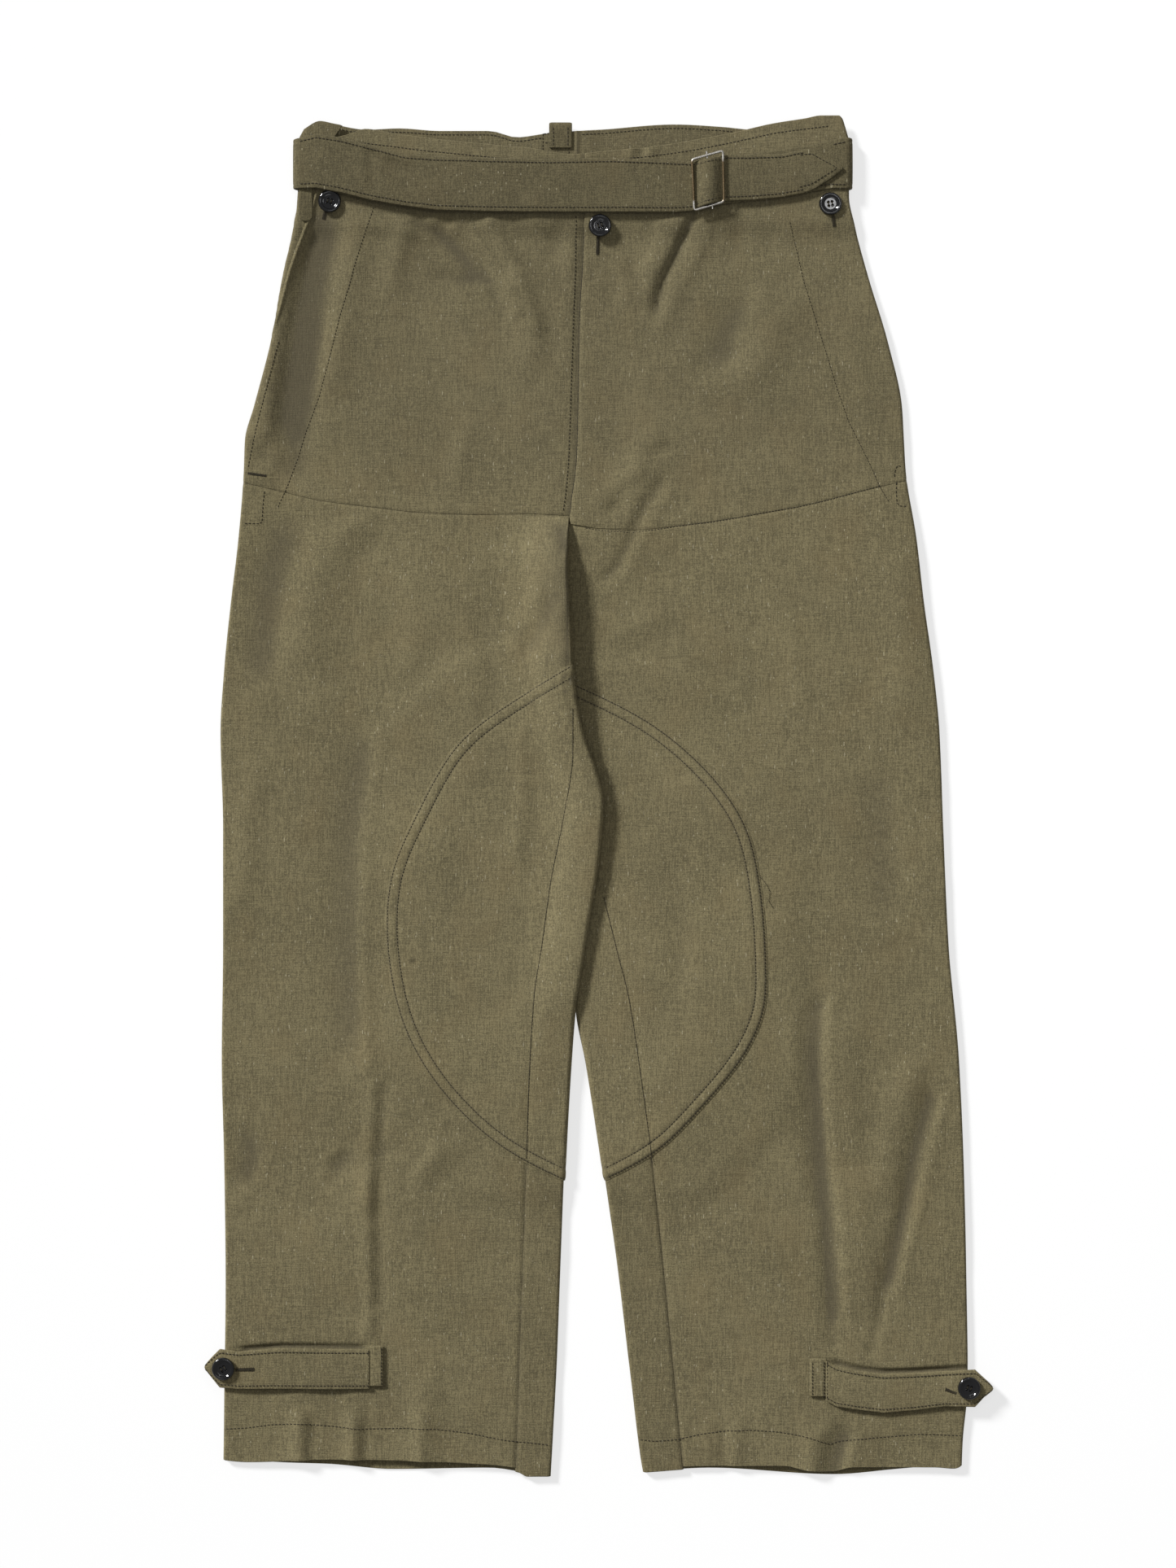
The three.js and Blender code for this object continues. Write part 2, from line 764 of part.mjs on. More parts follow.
function patchArcs(half) {
  return (loop, y) => {
    const width = patchWidth(half, y);
    const front = loop.arcOnTop(loop.far - loop.sign * width);
    const hidden = loop.arcBelow(loop.far - loop.sign * width);
    const { seam, flat, bend, strip } = landmarks(half, y, loop);
    const slope = Math.max(bend - SLOPE_ARC, hidden + 4);
    const near = Math.min(flat, front - 3);
    const crossing = Math.min(seam, near - 1.5);
    const turn = Math.min(strip, crossing - 1);
    return stretches(front, [near, 5], [crossing, 3], [turn, 2], [bend, 5], [slope, 5], [hidden, 2]);
  };
}

// Heights of the grid rows; panels that meet share them
const SEAT_HEIGHTS = [
  -297, -258, -220, -185, -155, -115, -65, -15, 10, 35, 72, 88, 100, 140, 168, 186, 200, 214,
];
const BACK_HEIGHTS = [
  -520, -450, -375, ...SEAT_HEIGHTS, 219, 262, 310, 350, 375, 400, 425, 441, 452, 464, 482, 499, 515,
];
const LEG_HEIGHTS = [-520, -490, -450, -412, -375, -335, ...SEAT_HEIGHTS];
const UPPER_HEIGHTS = [214, 226, 245, 266, 290, 320, 350, 375, 400, 425, 441, 452, 464, 482, 499, 512];
const PATCH_HEIGHTS = {
  right: [-297, -289, -275, -258, -220, -185, -155, -115, -65, -15, 10, 35, 72, 88, 100],
  left: [-297, -289, -275, -258, -220, -185, -155, -115, -65, -15, 10, 35, 72, 81, 88],
};

function backPanel(half) {
  return panel({
    half,
    heights: BACK_HEIGHTS,
    low: (x) => follow(HEM_BACK, 'y', x, 'x'),
    high: (x) => follow(WAIST_BACK, 'y', x, 'x'),
    arcs: backArcs(half),
  });
}

function legFrontPanel(half) {
  return panel({
    half,
    heights: LEG_HEIGHTS,
    low: (x) => follow(HEM_FRONT, 'y', x, 'x'),
    high: (x) => follow(CROSS[half], 'y', x, 'x') - SEAM_GAP,
    arcs: legFrontArcs(half),
  });
}

function upperFrontPanel(half) {
  return panel({
    half,
    heights: UPPER_HEIGHTS,
    low: (x) => follow(CROSS[half], 'y', x, 'x') + SEAM_GAP,
    high: (x) => follow(WAIST_FRONT, 'y', x, 'x'),
    arcs: upperFrontArcs(half),
  });
}

// Extra room between the right patch's hidden side and the left leg that it lies over
function patchRoom(half, p, y) {
  if (half !== 'right') return 0;
  const spread = PATCH_SLACK * ease(48, 62, y) * ease(1.8, 2.3, p.z) * Math.max(0.35, -p.nz);
  return Math.min(spread, Math.max(p.z - PATCH_GAP - PATCH_CLOTH, 0));
}

function patchPanel(half) {
  const heights = PATCH_HEIGHTS[half];
  return panel({
    half,
    heights,
    low: () => heights[0],
    high: () => heights[heights.length - 1],
    arcs: patchArcs(half),
    faces: [PATCH_GAP + PATCH_CLOTH, PATCH_GAP],
    slack: (p, y) => patchRoom(half, p, y),
  });
}

// Strap swept along a path in the XZ plane; its lower face is on the path
function strap(path, thickness) {
  const outer = [];
  const inner = [];
  path.forEach((p, i) => {
    const a = path[Math.max(i - 1, 0)];
    const b = path[Math.min(i + 1, path.length - 1)];
    const length = Math.hypot(b.x - a.x, b.z - a.z);
    const nx = -(b.z - a.z) / length;
    const nz = (b.x - a.x) / length;
    const across = [p.top, (p.top + p.bottom) / 2, p.bottom];
    outer.push(across.map((y) => [p.x + nx * thickness, y, p.z + nz * thickness]));
    inner.push(across.map((y) => [p.x, y, p.z]));
  });
  return wall(outer, inner);
}

// Bend of the belt round a side: half an ellipse from one run to the next
function bend(from, to, reach, steps) {
  const list = [];
  for (let i = 1; i < steps; i += 1) {
    const turn = (i / steps) * Math.PI;
    const share = i / steps;
    list.push({
      x: from.x + reach * Math.sin(turn),
      z: (from.z + to.z) / 2 + ((from.z - to.z) / 2) * Math.cos(turn),
      top: from.top + (to.top - from.top) * share,
      bottom: from.bottom + (to.bottom - from.bottom) * share,
    });
  }
  return list;
}

function beltStrap() {
  const last = (rows) => rows[rows.length - 1];
  const path = [
    ...BELT_START,
    ...bend(last(BELT_START), BELT_BACK[0], BELT_BEND, 6),
    ...BELT_BACK,
    ...bend(last(BELT_BACK), BELT_FRONT[0], -BELT_BEND, 6),
    ...BELT_FRONT,
  ];
  return strap(path, STRAP_CLOTH);
}

// Ankle tab: flat strap held a little off the leg, with a pointed free end
function tabLowerFace(half, row) {
  const { left, right } = limits(half, row.top);
  const x = Math.min(Math.max(row.x, left + 4), right - 4);
  const heights = stretches(row.bottom, [row.top, 4]).map((y) => upperside(half, x, y));
  return Math.max(...heights) + TAB_LIFT;
}

function tabStrap(half) {
  const { rows } = TAB[half];
  const end = rows[0].x;
  const path = rows.map((row) => ({
    ...row,
    z: tabLowerFace(half, row) + TAB_STAND * ease(0, 30, Math.abs(row.x - end)),
  }));
  const base = path.map((p) => [p.top, (p.top + p.bottom) / 2, p.bottom].map((y) => [p.x, y, p.z]));
  const face = base.map((row) => row.map(([x, y, z]) => [x, y, z + STRAP_CLOTH]));
  return wall(face, base);
}

function tabFaceHeight(half) {
  const { rows } = TAB[half];
  return Math.max(...rows.slice(-4).map((row) => tabLowerFace(half, row))) + TAB_STAND + STRAP_CLOTH;
}

function keeperPlate(half) {
  const { x0, x1, top, bottom } = TAB[half].keeper;
  const base = [x0, x1].map((x) => [top, (top + bottom) / 2, bottom].map((y) => (
    [x, y, upperside(half, x, y) + KEEPER_LIFT]
  )));
  const face = base.map((row) => row.map(([x, y, z]) => [x, y, z + STRAP_CLOTH]));
  return wall(face, base);
}

// Side loop: its strip lies on the back panel's front strip and goes up under the belt
const SIDE_LOOP = { low: 445, high: 500, inner: -221.5, outer: -231.3 };
function sideLoop() {
  const heights = stretches(SIDE_LOOP.low, [SIDE_LOOP.high, 5]);
  return panel({
    half: 'right',
    heights,
    low: () => SIDE_LOOP.low,
    high: () => SIDE_LOOP.high,
    arcs: (loop) => stretches(loop.arcOnTop(SIDE_LOOP.inner), [loop.arcOnTop(SIDE_LOOP.outer), 3]),
    faces: [SEAM_GAP + LOOP_CLOTH, SEAM_GAP],
  });
}

// Centre back loop: up from under the back, outside the belt, and over the waist edge
const CENTRE_LOOP = table(['y', 'z'], [
  [452, 3.5],
  [458, 3.3],
  [463.5, LOOP_CLOTH],
  [506.5, LOOP_CLOTH],
  [515, 1.5],
  [519.4, 2.6],
  [520.6, 4.2],
  [519.2, 5.4],
  [506, 5.4],
]);
function centreLoop() {
  const outer = [];
  const inner = [];
  CENTRE_LOOP.forEach((p, i) => {
    const a = CENTRE_LOOP[Math.max(i - 1, 0)];
    const b = CENTRE_LOOP[Math.min(i + 1, CENTRE_LOOP.length - 1)];
    const length = Math.hypot(b.y - a.y, b.z - a.z);
    const ny = (b.z - a.z) / length;
    const nz = -(b.y - a.y) / length;
    const ends = [LOOP_X - LOOP_WIDTH / 2, LOOP_X + LOOP_WIDTH / 2];
    outer.push(ends.map((x) => [x, p.y + ny * LOOP_CLOTH, p.z + nz * LOOP_CLOTH]));
    inner.push(ends.map((x) => [x, p.y, p.z]));
  });
  return wall(outer, inner);
}

// Solid modelling: joins and cuts
const wasm = await Module();
wasm.setup();

function toSolid(geometry) {
  const bare = geometry.clone();
  bare.deleteAttribute('normal');
  bare.deleteAttribute('uv');
  const merged = mergeVertices(bare, 1e-4);
  return new wasm.Manifold(new wasm.Mesh({
    numProp: 3,
    vertProperties: new Float32Array(merged.attributes.position.array),
    triVerts: new Uint32Array(merged.index.array),
  }));
}

function toGeometry(solid) {
  const mesh = solid.getMesh();
  const geometry = new THREE.BufferGeometry();
  geometry.setAttribute('position', new THREE.Float32BufferAttribute(mesh.vertProperties, 3));
  geometry.setIndex(Array.from(mesh.triVerts));
  geometry.computeVertexNormals();
  return geometry;
}

// Button: dished face inside a raised rim, four sewing holes
const BUTTON_PROFILE = table(['r', 'z'], [
  [0, 0],
  [7.4, 0],
  [BUTTON_RADIUS, 1.1],
  [BUTTON_RADIUS - 0.2, 2.3],
  [7.6, BUTTON_HEIGHT],
  [6.3, 2.6],
  [5.4, 1.8],
  [0, 1.6],
]);
const BUTTON_HOLES = { count: 4, ring: 2, radius: 0.85 };
function buttonSolid() {
  const profile = BUTTON_PROFILE.map((p) => new THREE.Vector2(p.r, p.z));
  const lathe = new THREE.LatheGeometry(profile, 16);
  lathe.rotateX(Math.PI / 2);
  let solid = toSolid(lathe);
  for (let i = 0; i < BUTTON_HOLES.count; i += 1) {
    const turn = (i + 0.5) * (Math.PI / 2);
    const hole = new THREE.CylinderGeometry(BUTTON_HOLES.radius, BUTTON_HOLES.radius, 6, 5);
    hole.rotateX(Math.PI / 2);
    hole.translate(BUTTON_HOLES.ring * Math.cos(turn), BUTTON_HOLES.ring * Math.sin(turn), 1);
    solid = solid.subtract(toSolid(hole));
  }
  return toGeometry(solid);
}

// Buckle: closed wire rectangle with small corner bends, joined with its centre bar
const WIRE_SIDES = 8;
function wireRing(corners, radius, cornerBend) {
  const path = [];
  corners.forEach((corner, i) => {
    const before = corners[(i + corners.length - 1) % corners.length];
    const after = corners[(i + 1) % corners.length];
    const into = before.clone().sub(corner).setLength(cornerBend);
    const away = after.clone().sub(corner).setLength(cornerBend);
    for (const t of [0, 0.5, 1]) {
      const a = into.clone().multiplyScalar((1 - t) ** 2);
      const b = away.clone().multiplyScalar(t ** 2);
      path.push(corner.clone().add(a).add(b));
    }
  });
  const positions = [];
  const up = new THREE.Vector3(0, 0, 1);
  path.forEach((p, i) => {
    const before = path[(i + path.length - 1) % path.length];
    const after = path[(i + 1) % path.length];
    const along = after.clone().sub(before).normalize();
    const side = along.clone().cross(up).normalize();
    const rise = side.clone().cross(along);
    for (let k = 0; k < WIRE_SIDES; k += 1) {
      const turn = (k / WIRE_SIDES) * Math.PI * 2;
      const v = p.clone().addScaledVector(side, radius * Math.cos(turn));
      v.addScaledVector(rise, radius * Math.sin(turn));
      positions.push(v.x, v.y, v.z);
    }
  });
  const index = [];
  for (let i = 0; i < path.length; i += 1) {
    const j = (i + 1) % path.length;
    for (let k = 0; k < WIRE_SIDES; k += 1) {
      const m = (k + 1) % WIRE_SIDES;
      const a = i * WIRE_SIDES + k;
      const b = i * WIRE_SIDES + m;
      const c = j * WIRE_SIDES + m;
      const d = j * WIRE_SIDES + k;
      index.push(a, b, c, a, c, d);
    }
  }
  const geometry = new THREE.BufferGeometry();
  geometry.setAttribute('position', new THREE.Float32BufferAttribute(positions, 3));
  geometry.setIndex(index);
  return outward(geometry);
}

function buckleSolid() {
  const corners = BUCKLE.map((p) => new THREE.Vector3(p.x, p.y, p.z));
  const ring = wireRing(corners, WIRE_RADIUS, 2);
  const [start, end] = BUCKLE_BAR.map((p) => new THREE.Vector3(p.x, p.y, p.z));
  const bar = new THREE.CylinderGeometry(WIRE_RADIUS, WIRE_RADIUS, start.distanceTo(end), WIRE_SIDES);
  const turn = new THREE.Quaternion().setFromUnitVectors(
    new THREE.Vector3(0, 1, 0),
    end.clone().sub(start).normalize(),
  );
  bar.applyQuaternion(turn);
  const middle = start.clone().add(end).multiplyScalar(0.5);
  bar.translate(middle.x, middle.y, middle.z);
  return toGeometry(toSolid(ring).add(toSolid(bar)));
}

// Materials
const MATERIALS = {
  canvas: { color: 0x6b654c, roughness: 0.95, metalness: 0 },
  button: { color: 0x0b0b0c, roughness: 0.2, metalness: 0 },
  brass: { color: 0x9a8256, roughness: 0.35, metalness: 1 },
};

const trousers = new THREE.Group();
function add(name, geometry, material) {
  const mesh = new THREE.Mesh(geometry, new THREE.MeshStandardMaterial(MATERIALS[material]));
  mesh.name = name;
  trousers.add(mesh);
  return mesh;
}

for (const half of ['right', 'left']) {
  add(`back_${half}`, backPanel(half), 'canvas');
  add(`front_${half}`, upperFrontPanel(half), 'canvas');
  add(`leg_front_${half}`, legFrontPanel(half), 'canvas');
  add(`patch_${half}`, patchPanel(half), 'canvas');
  add(`ankle_tab_${half}`, tabStrap(half), 'canvas');
  add(`tab_keeper_${half}`, keeperPlate(half), 'canvas');
}
add('belt', beltStrap(), 'canvas');
add('buckle', buckleSolid(), 'brass');
add('loop_centre_back', centreLoop(), 'canvas');
add('loop_side_right', sideLoop(), 'canvas');

const BUTTONS = table(['name', 'x', 'y', 'half'], [
  ['button_fly', 1, 441, 'left'],
  ['button_hip_right', -208, 460, 'right'],
  ['button_hip_left', 179, 458, 'left'],
]);
for (const { name, x, y, half } of BUTTONS) {
  const reach = [-1, 0, 1].flatMap((i) => [-1, 0, 1].map((j) => [x + i * 6, y + j * 6]));
  const seat = Math.max(...reach.map(([px, py]) => upperside(half, px, py)));
  add(name, buttonSolid(), 'button').position.set(x, y, seat + SEAM_GAP);
}
for (const half of ['right', 'left']) {
  const [x, y] = TAB[half].button;
  add(`button_ankle_${half}`, buttonSolid(), 'button').position.set(x, y, tabFaceHeight(half) + SEAM_GAP);
}

export default trousers;
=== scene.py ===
"""Motorcycle trousers laid flat: cloth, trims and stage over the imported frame. Sizes in the tables are mm."""
import math

import bpy
import numpy as np
from bpy.props import FloatProperty, FloatVectorProperty, PointerProperty
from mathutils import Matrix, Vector


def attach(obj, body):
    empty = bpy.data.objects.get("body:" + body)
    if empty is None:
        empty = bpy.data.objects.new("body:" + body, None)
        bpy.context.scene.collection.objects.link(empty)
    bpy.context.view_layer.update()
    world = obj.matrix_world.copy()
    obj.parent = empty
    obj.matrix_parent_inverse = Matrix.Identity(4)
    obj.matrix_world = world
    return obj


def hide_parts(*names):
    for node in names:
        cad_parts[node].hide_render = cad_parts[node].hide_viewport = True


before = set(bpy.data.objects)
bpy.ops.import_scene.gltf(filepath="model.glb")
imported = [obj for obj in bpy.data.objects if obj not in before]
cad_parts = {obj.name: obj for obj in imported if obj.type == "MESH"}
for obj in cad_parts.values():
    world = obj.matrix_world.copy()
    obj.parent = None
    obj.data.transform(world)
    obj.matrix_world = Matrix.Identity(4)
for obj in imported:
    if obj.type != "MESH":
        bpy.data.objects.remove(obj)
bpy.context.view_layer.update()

bl_info = {
    "name": "Motorcycle Trousers",
    "version": (1, 0, 0),
    "blender": (4, 5, 0),
    "location": "View3D > Sidebar > Trousers",
    "description": "Builds canvas motorcycle trousers laid flat, piece by piece",
    "category": "Object",
}

FLOOR = "studio_floor"
HALVES = ("right", "left")
SIGN = {"right": 1, "left": -1}

# Scale of the photograph
MM = 0.001
MM_PER_PX = 0.63
MIDDLE_PX = (735.65, 978.75)

# Walls of cloth, and how they lie
CLOTH_MM = 1.2
PATCH_CLOTH = 0.9
STRAP_CLOTH = 2.0
LOOP_CLOTH = 1.2
SEAM_GAP = 0.3
LOFT = 5.0
EDGE_ROUND = 2.5
CROTCH_ROUND = 0.2
PATCH_LIFT = 1.75
FLY_LIFT = 1.0
THREAD_PROUD = 0.3

# Depth of the creases: the whole, the main ones and the fine ones
FOLD_DEPTH = 1.9
CREASE_DEPTH = 1.15
FINE_DEPTH = 1.3
CREASE_REACH = 2.5

# Places on the garment, from its middle
CROTCH_X = -22.0
CROTCH_Y = 216.0
HALF_WIDTH = 304.3
HALF_LENGTH = 526.2
LOOP_X = -29.5
LOOP_WIDTH = 17.0
FLAT_TOP = 71.0
FLY_FOOT = 264.0
UNDER_BELT = (430, 446)
HEM_CREASES = -500
OPENING_FOOT = 340

# Rows of the panels' grids: lowest row, then lengths upwards
GRID_FOOT = -520.0
BACK_LENGTH = 1035.0
LEG_LENGTH = 734.0
UPPER_FOOT = 214.0
UPPER_LENGTH = 298.0


def table(columns, rows):
    return {name: np.array([row[i] for row in rows], float) for i, name in enumerate(columns)}


class Curve:
    """Smooth monotone line through one column of a table against another."""

    def __init__(self, data, key, at="y"):
        order = np.argsort(data[at], kind="stable")
        self.x = data[at][order]
        self.v = data[key][order]
        slope = np.diff(self.v) / np.diff(self.x)
        before = np.concatenate([slope[:1], slope])
        after = np.concatenate([slope, slope[-1:]])
        product = before * after
        total = np.where(before + after == 0, 1, before + after)
        self.m = np.where(product <= 0, 0, 2 * product / total)

    def __call__(self, at):
        q = np.clip(np.asarray(at, float), self.x[0], self.x[-1])
        i = np.clip(np.searchsorted(self.x, q, side="right") - 1, 0, len(self.x) - 2)
        h = self.x[i + 1] - self.x[i]
        t = (q - self.x[i]) / h
        t2 = t * t
        t3 = t2 * t
        start = (2 * t3 - 3 * t2 + 1) * self.v[i] + (t3 - 2 * t2 + t) * h * self.m[i]
        return start + (3 * t2 - 2 * t3) * self.v[i + 1] + (t3 - t2) * h * self.m[i + 1]


def ease(low, high, value):
    t = np.clip((np.asarray(value, float) - low) / (high - low), 0, 1)
    return t * t * (3 - 2 * t)


def bell(distance, width):
    """1 at no distance, fading away on both sides."""
    return np.exp(-((distance / width) ** 2))


# Outer silhouette
SIDES = table(("y", "left", "right"), [
    (527, -222, 188), (514, -230, 192), (506, -233.3, 193.8), (464, -233.3, 193.8), (443, -236, 198),
    (402, -245, 209), (352, -254, 224), (302, -267, 235), (276, -274, 236.5), (251, -275, 238),
    (201, -279, 246), (150, -285, 252), (100, -290, 259), (50, -293, 264), (-26, -291, 267),
    (-114, -291, 271), (-202, -292, 279), (-291, -290, 283), (-379, -289, 285), (-454, -290, 286),
    (-500, -290.5, 282), (-527, -291, 281),
])
# Inner edge of each leg
INNER = table(("y", "right", "left"), [
    (217, -22.3, -21.7), (211, -22.6, -24.5), (200, -23.2, -27), (184, -23.5, -28.5), (138, -22, -31),
    (94, -20, -29), (50, -13, -22), (18, -2, -11), (-5, 3, -7), (-45, 0, -10), (-102, -9, -17),
    (-135, -14, -18), (-163, -18.5, -17), (-207, -22, -9), (-278, -26, 2), (-354, -29, 13), (-447, -32.5, 24),
    (-511, -36, 32), (-527, -37, 35),
])
# Inseam on the front of each leg
INSEAM = table(("y", "right", "left"), [
    (71, -20, -19), (35, -20, -10), (-15, -27, -2), (-65, -37, 2), (-115, -44, 13), (-155, -50, 23),
    (-220, -54, 33), (-297, -56.5, 43), (-527, -64.5, 66),
])
# Lift of the right leg's inner edge over the left leg
ARCH = table(("y", "lift"), [
    (217, 0), (209, 4.5), (200, 8.5), (184, 13), (150, 15), (100, 14.5), (50, 12), (0, 10), (-45, 8.5),
    (-102, 7.5), (-145, 6.5), (-160, 5.5), (-175, 3.5), (-200, 1), (-225, 0),
])
ARCH_SPAN = table(("at", "share"), [(-50, 0), (-36, 0.18), (-20, 0.78), (-9, 1)])
WAIST_FRONT = table(("x", "y"), [
    (-240, 505), (-211, 508), (-193, 512), (-181, 516), (-161, 513), (-125, 508), (-85, 504),
    (-54, 501), (-21, 496), (9, 499), (41, 502), (72, 507), (104, 513), (135, 520), (160, 524),
    (172, HALF_LENGTH), (186, HALF_LENGTH), (191, 521), (200, 510),
])
WAIST_BACK = table(("x", "y"), [
    (-240, 508), (-228, 516), (-216, 522), (-205, 520), (-180, 516), (-155, 517), (-123, 515),
    (-85, 515), (-63, 510), (-38, 513), (3, 516), (59, 520), (97, 518), (119, 516), (167, 522),
    (188, 520), (200, 510),
])
CROSS = {
    "right": table(("x", "y"), [
        (-280, 244), (-246, 236), (-216, 229), (-177, 224), (-137, 219.5), (-96, 218), (-54, 218.5),
        (-20, 217),
    ]),
    "left": table(("x", "y"), [
        (-24, 211), (3, 207), (25, 206), (63, 209.5), (109, 216), (154, 224), (199, 235), (245, 246),
    ]),
}
FLY = table(("y", "x"), [
    (530, -10), (449, -10.7), (409, -12), (377, -14), (264, -16.5), (CROTCH_Y, CROTCH_X),
    (190, CROTCH_X - 1),
])
HEM_FRONT = table(("x", "y"), [
    (-295, -513), (-272, -515), (-209, -513), (-148, -514), (-85, -517), (-53, -521), (-37, -523),
    (34, -521), (56, -519), (86, -518), (143, -518), (162, -521.5), (182, -522.5), (196, -519),
    (260, -519), (275, -520), (285, -516),
])
HEM_BACK = table(("x", "y"), [
    (-295, -513), (-240, -516), (-209, -517), (-160, -521), (-85, -520), (-62, -523),
    (-55, -HALF_LENGTH), (-30, -HALF_LENGTH), (34, -523), (86, -520), (182, -525), (230, -521),
    (285, -516),
])
SIDE_OPENING = table(("y", "x"), [
    (527, -193), (503, -208), (468, -219), (445, -226), (424, -234), (403, -241), (380, -247),
    (358, -253),
])
PATCH = {
    "right": table(("y", "x"), [
        (101, -23), (98, -30), (86, -49), (73, -69), (60, -91), (43, -110), (14, -128), (-16, -143),
        (-57, -161), (-90, -165.5), (-114, -165), (-144, -161), (-170, -155), (-194, -145),
        (-219, -130), (-243, -110), (-263, -89), (-278, -69), (-293, -43), (-297, -29),
    ]),
    "left": table(("y", "x"), [
        (91, -26), (87, -17), (80, 0), (70, 22), (57, 44), (45, 59), (12, 93), (-27, 117),
        (-70, 126), (-114, 130), (-159, 131), (-176, 126), (-198, 116), (-224, 96), (-248, 74),
        (-267, 57), (-281, 42), (-291, 22), (-297, 6),
    ]),
}

INSEAM_ON_PATCH = {"right": (68, -280), "left": (-78, -284)}
# Belt: x, top, bottom and height along the front, at the hidden start, and round the back
BELT_FRONT = [
    (-231, 508, 470, 9.6), (-218, 511, 470, 11), (-199, 508, 466.3, 11.6), (-176, 502, 460.5, 11.6),
    (-150, 495, 456, 11.6), (-125, 493.5, 452.8, 11.6), (-85, 492.5, 451.8, 11.4), (-38, 491.5, 451.5, 11.2),
    (9, 492.5, 451.5, 11), (40, 491.5, 451.5, 10.6), (60, 490.6, 451.5, 9.9), (72, 490, 452.4, 9.6),
    (75.5, 490.2, 454.3, 10), (79, 490.6, 455.3, 12.3), (82.4, 491.2, 456.3, 14.3),
    (85.5, 491.8, 457.1, 14.7), (88.6, 492.4, 457.9, 14.3), (92, 493, 459, 11.8),
    (95.5, 494, 459.7, 10.05), (99, 495, 460, 10), (120, 495, 461, 10), (141, 495.5, 463, 10),
    (158, 499, 466, 10), (166, 500, 469, 10), (178, 492.4, 476.6, 10), (188, 486.2, 483.8, 10),
]
BELT_START = [
    (87, 491, 456.5, 7.7), (110, 495, 459.5, 7.7), (141, 499.5, 462.5, 7.7), (165, 503, 467.5, 7.7),
    (180, 507, 470, 7.7), (191, 509, 470, 7.7),
]
BELT_BACK = [
    (191, 508.5, 470, 2), (130, 507, 469, 2), (60, 505, 467, 2), (-12, 504, 466, 2), (-19, 504, 466, 3.5),
    (-40, 504, 466, 3.5), (-47, 504, 466, 2), (-80, 504.5, 466.5, 2), (-150, 505.5, 468, 2),
    (-231, 507, 470, 2),
]
BELT_BEND = 3.4

# Main creases: height, half width, then the path
FOLDS = [
    (-3.6, 15, [(-213, 440), (-221, 409), (-229, 365), (-237, 314), (-243, 264)]),
    (1.8, 14, [(-190, 430), (-200, 365), (-212, 300)]),
    (-2, 9, [(-120, 440), (-98, 409), (-88, 390)]),
    (-1.8, 8, [(-95, 445), (-73, 409), (-66, 392)]),
    (2.4, 13, [(-92, 440), (-54, 371), (-48, 321)]),
    (1.7, 9, [(62, 442), (46, 406), (30, 372)]),
    (-2.2, 3.4, [(73, 448), (60, 420), (50, 400), (43, 370)]),
    (-2.2, 16, [(126, 393), (107, 365), (94, 339), (85, 317)]),
    (1.8, 18, [(150, 400), (128, 350), (112, 300)]),
    (-0.9, 5, [(58, 276), (44, 262)]),
    (1.8, 13, [(40, 268), (22, 240), (12, 222)]),
    (-1.8, 3.0, [(52, 248), (40, 230), (31, 214), (24, 198), (15, 178), (0, 164)]),
    (-2.4, 18, [(-232, 232), (-250, 176), (-258, 113), (-265, 69)]),
    (2, 20, [(-200, 220), (-222, 150), (-236, 80)]),
    (1.4, 28, [(-122, 40), (-130, -40), (-135, -120), (-138, -200)]),
    (-2, 20, [(-176, 71), (-190, -27), (-192, -113), (-190, -190), (-186, -219)]),
    (-2.4, 12, [(-276, -246), (-266, -275), (-276, -312)]),
    (2.2, 12, [(-115, -262), (-148, -303)]),
    (-2, 10, [(-185, -272), (-213, -293)]),
    (1.8, 10, [(-181, -285), (-179, -328)]),
    (2, 11, [(-228, -470), (-229, -515)]),
    (2, 10, [(-186, -470), (-188, -515)]),
    (1.8, 11, [(-134, -440), (-136, -515)]),
    (-2.4, 7, [(171, -148), (168, -200), (172, -273), (178, -327), (184, -415)]),
    (1.2, 12, [(192, -160), (190, -205), (196, -273), (201, -327), (206, -410)]),
    (-2.3, 8, [(262, -221), (247, -273), (239, -315), (222, -390)]),
    (1.5, 11, [(250, -190), (226, -260), (216, -320)]),
    (-2.6, 8, [(199, -486), (188, -500), (183, -522)]),
    (2, 9, [(168, -484), (164, -522)]),
    (1.6, 16, [(232, 205), (238, 120), (236, 40)]),
    (-1.6, 16, [(215, 40), (218, -40), (222, -110)]),
]
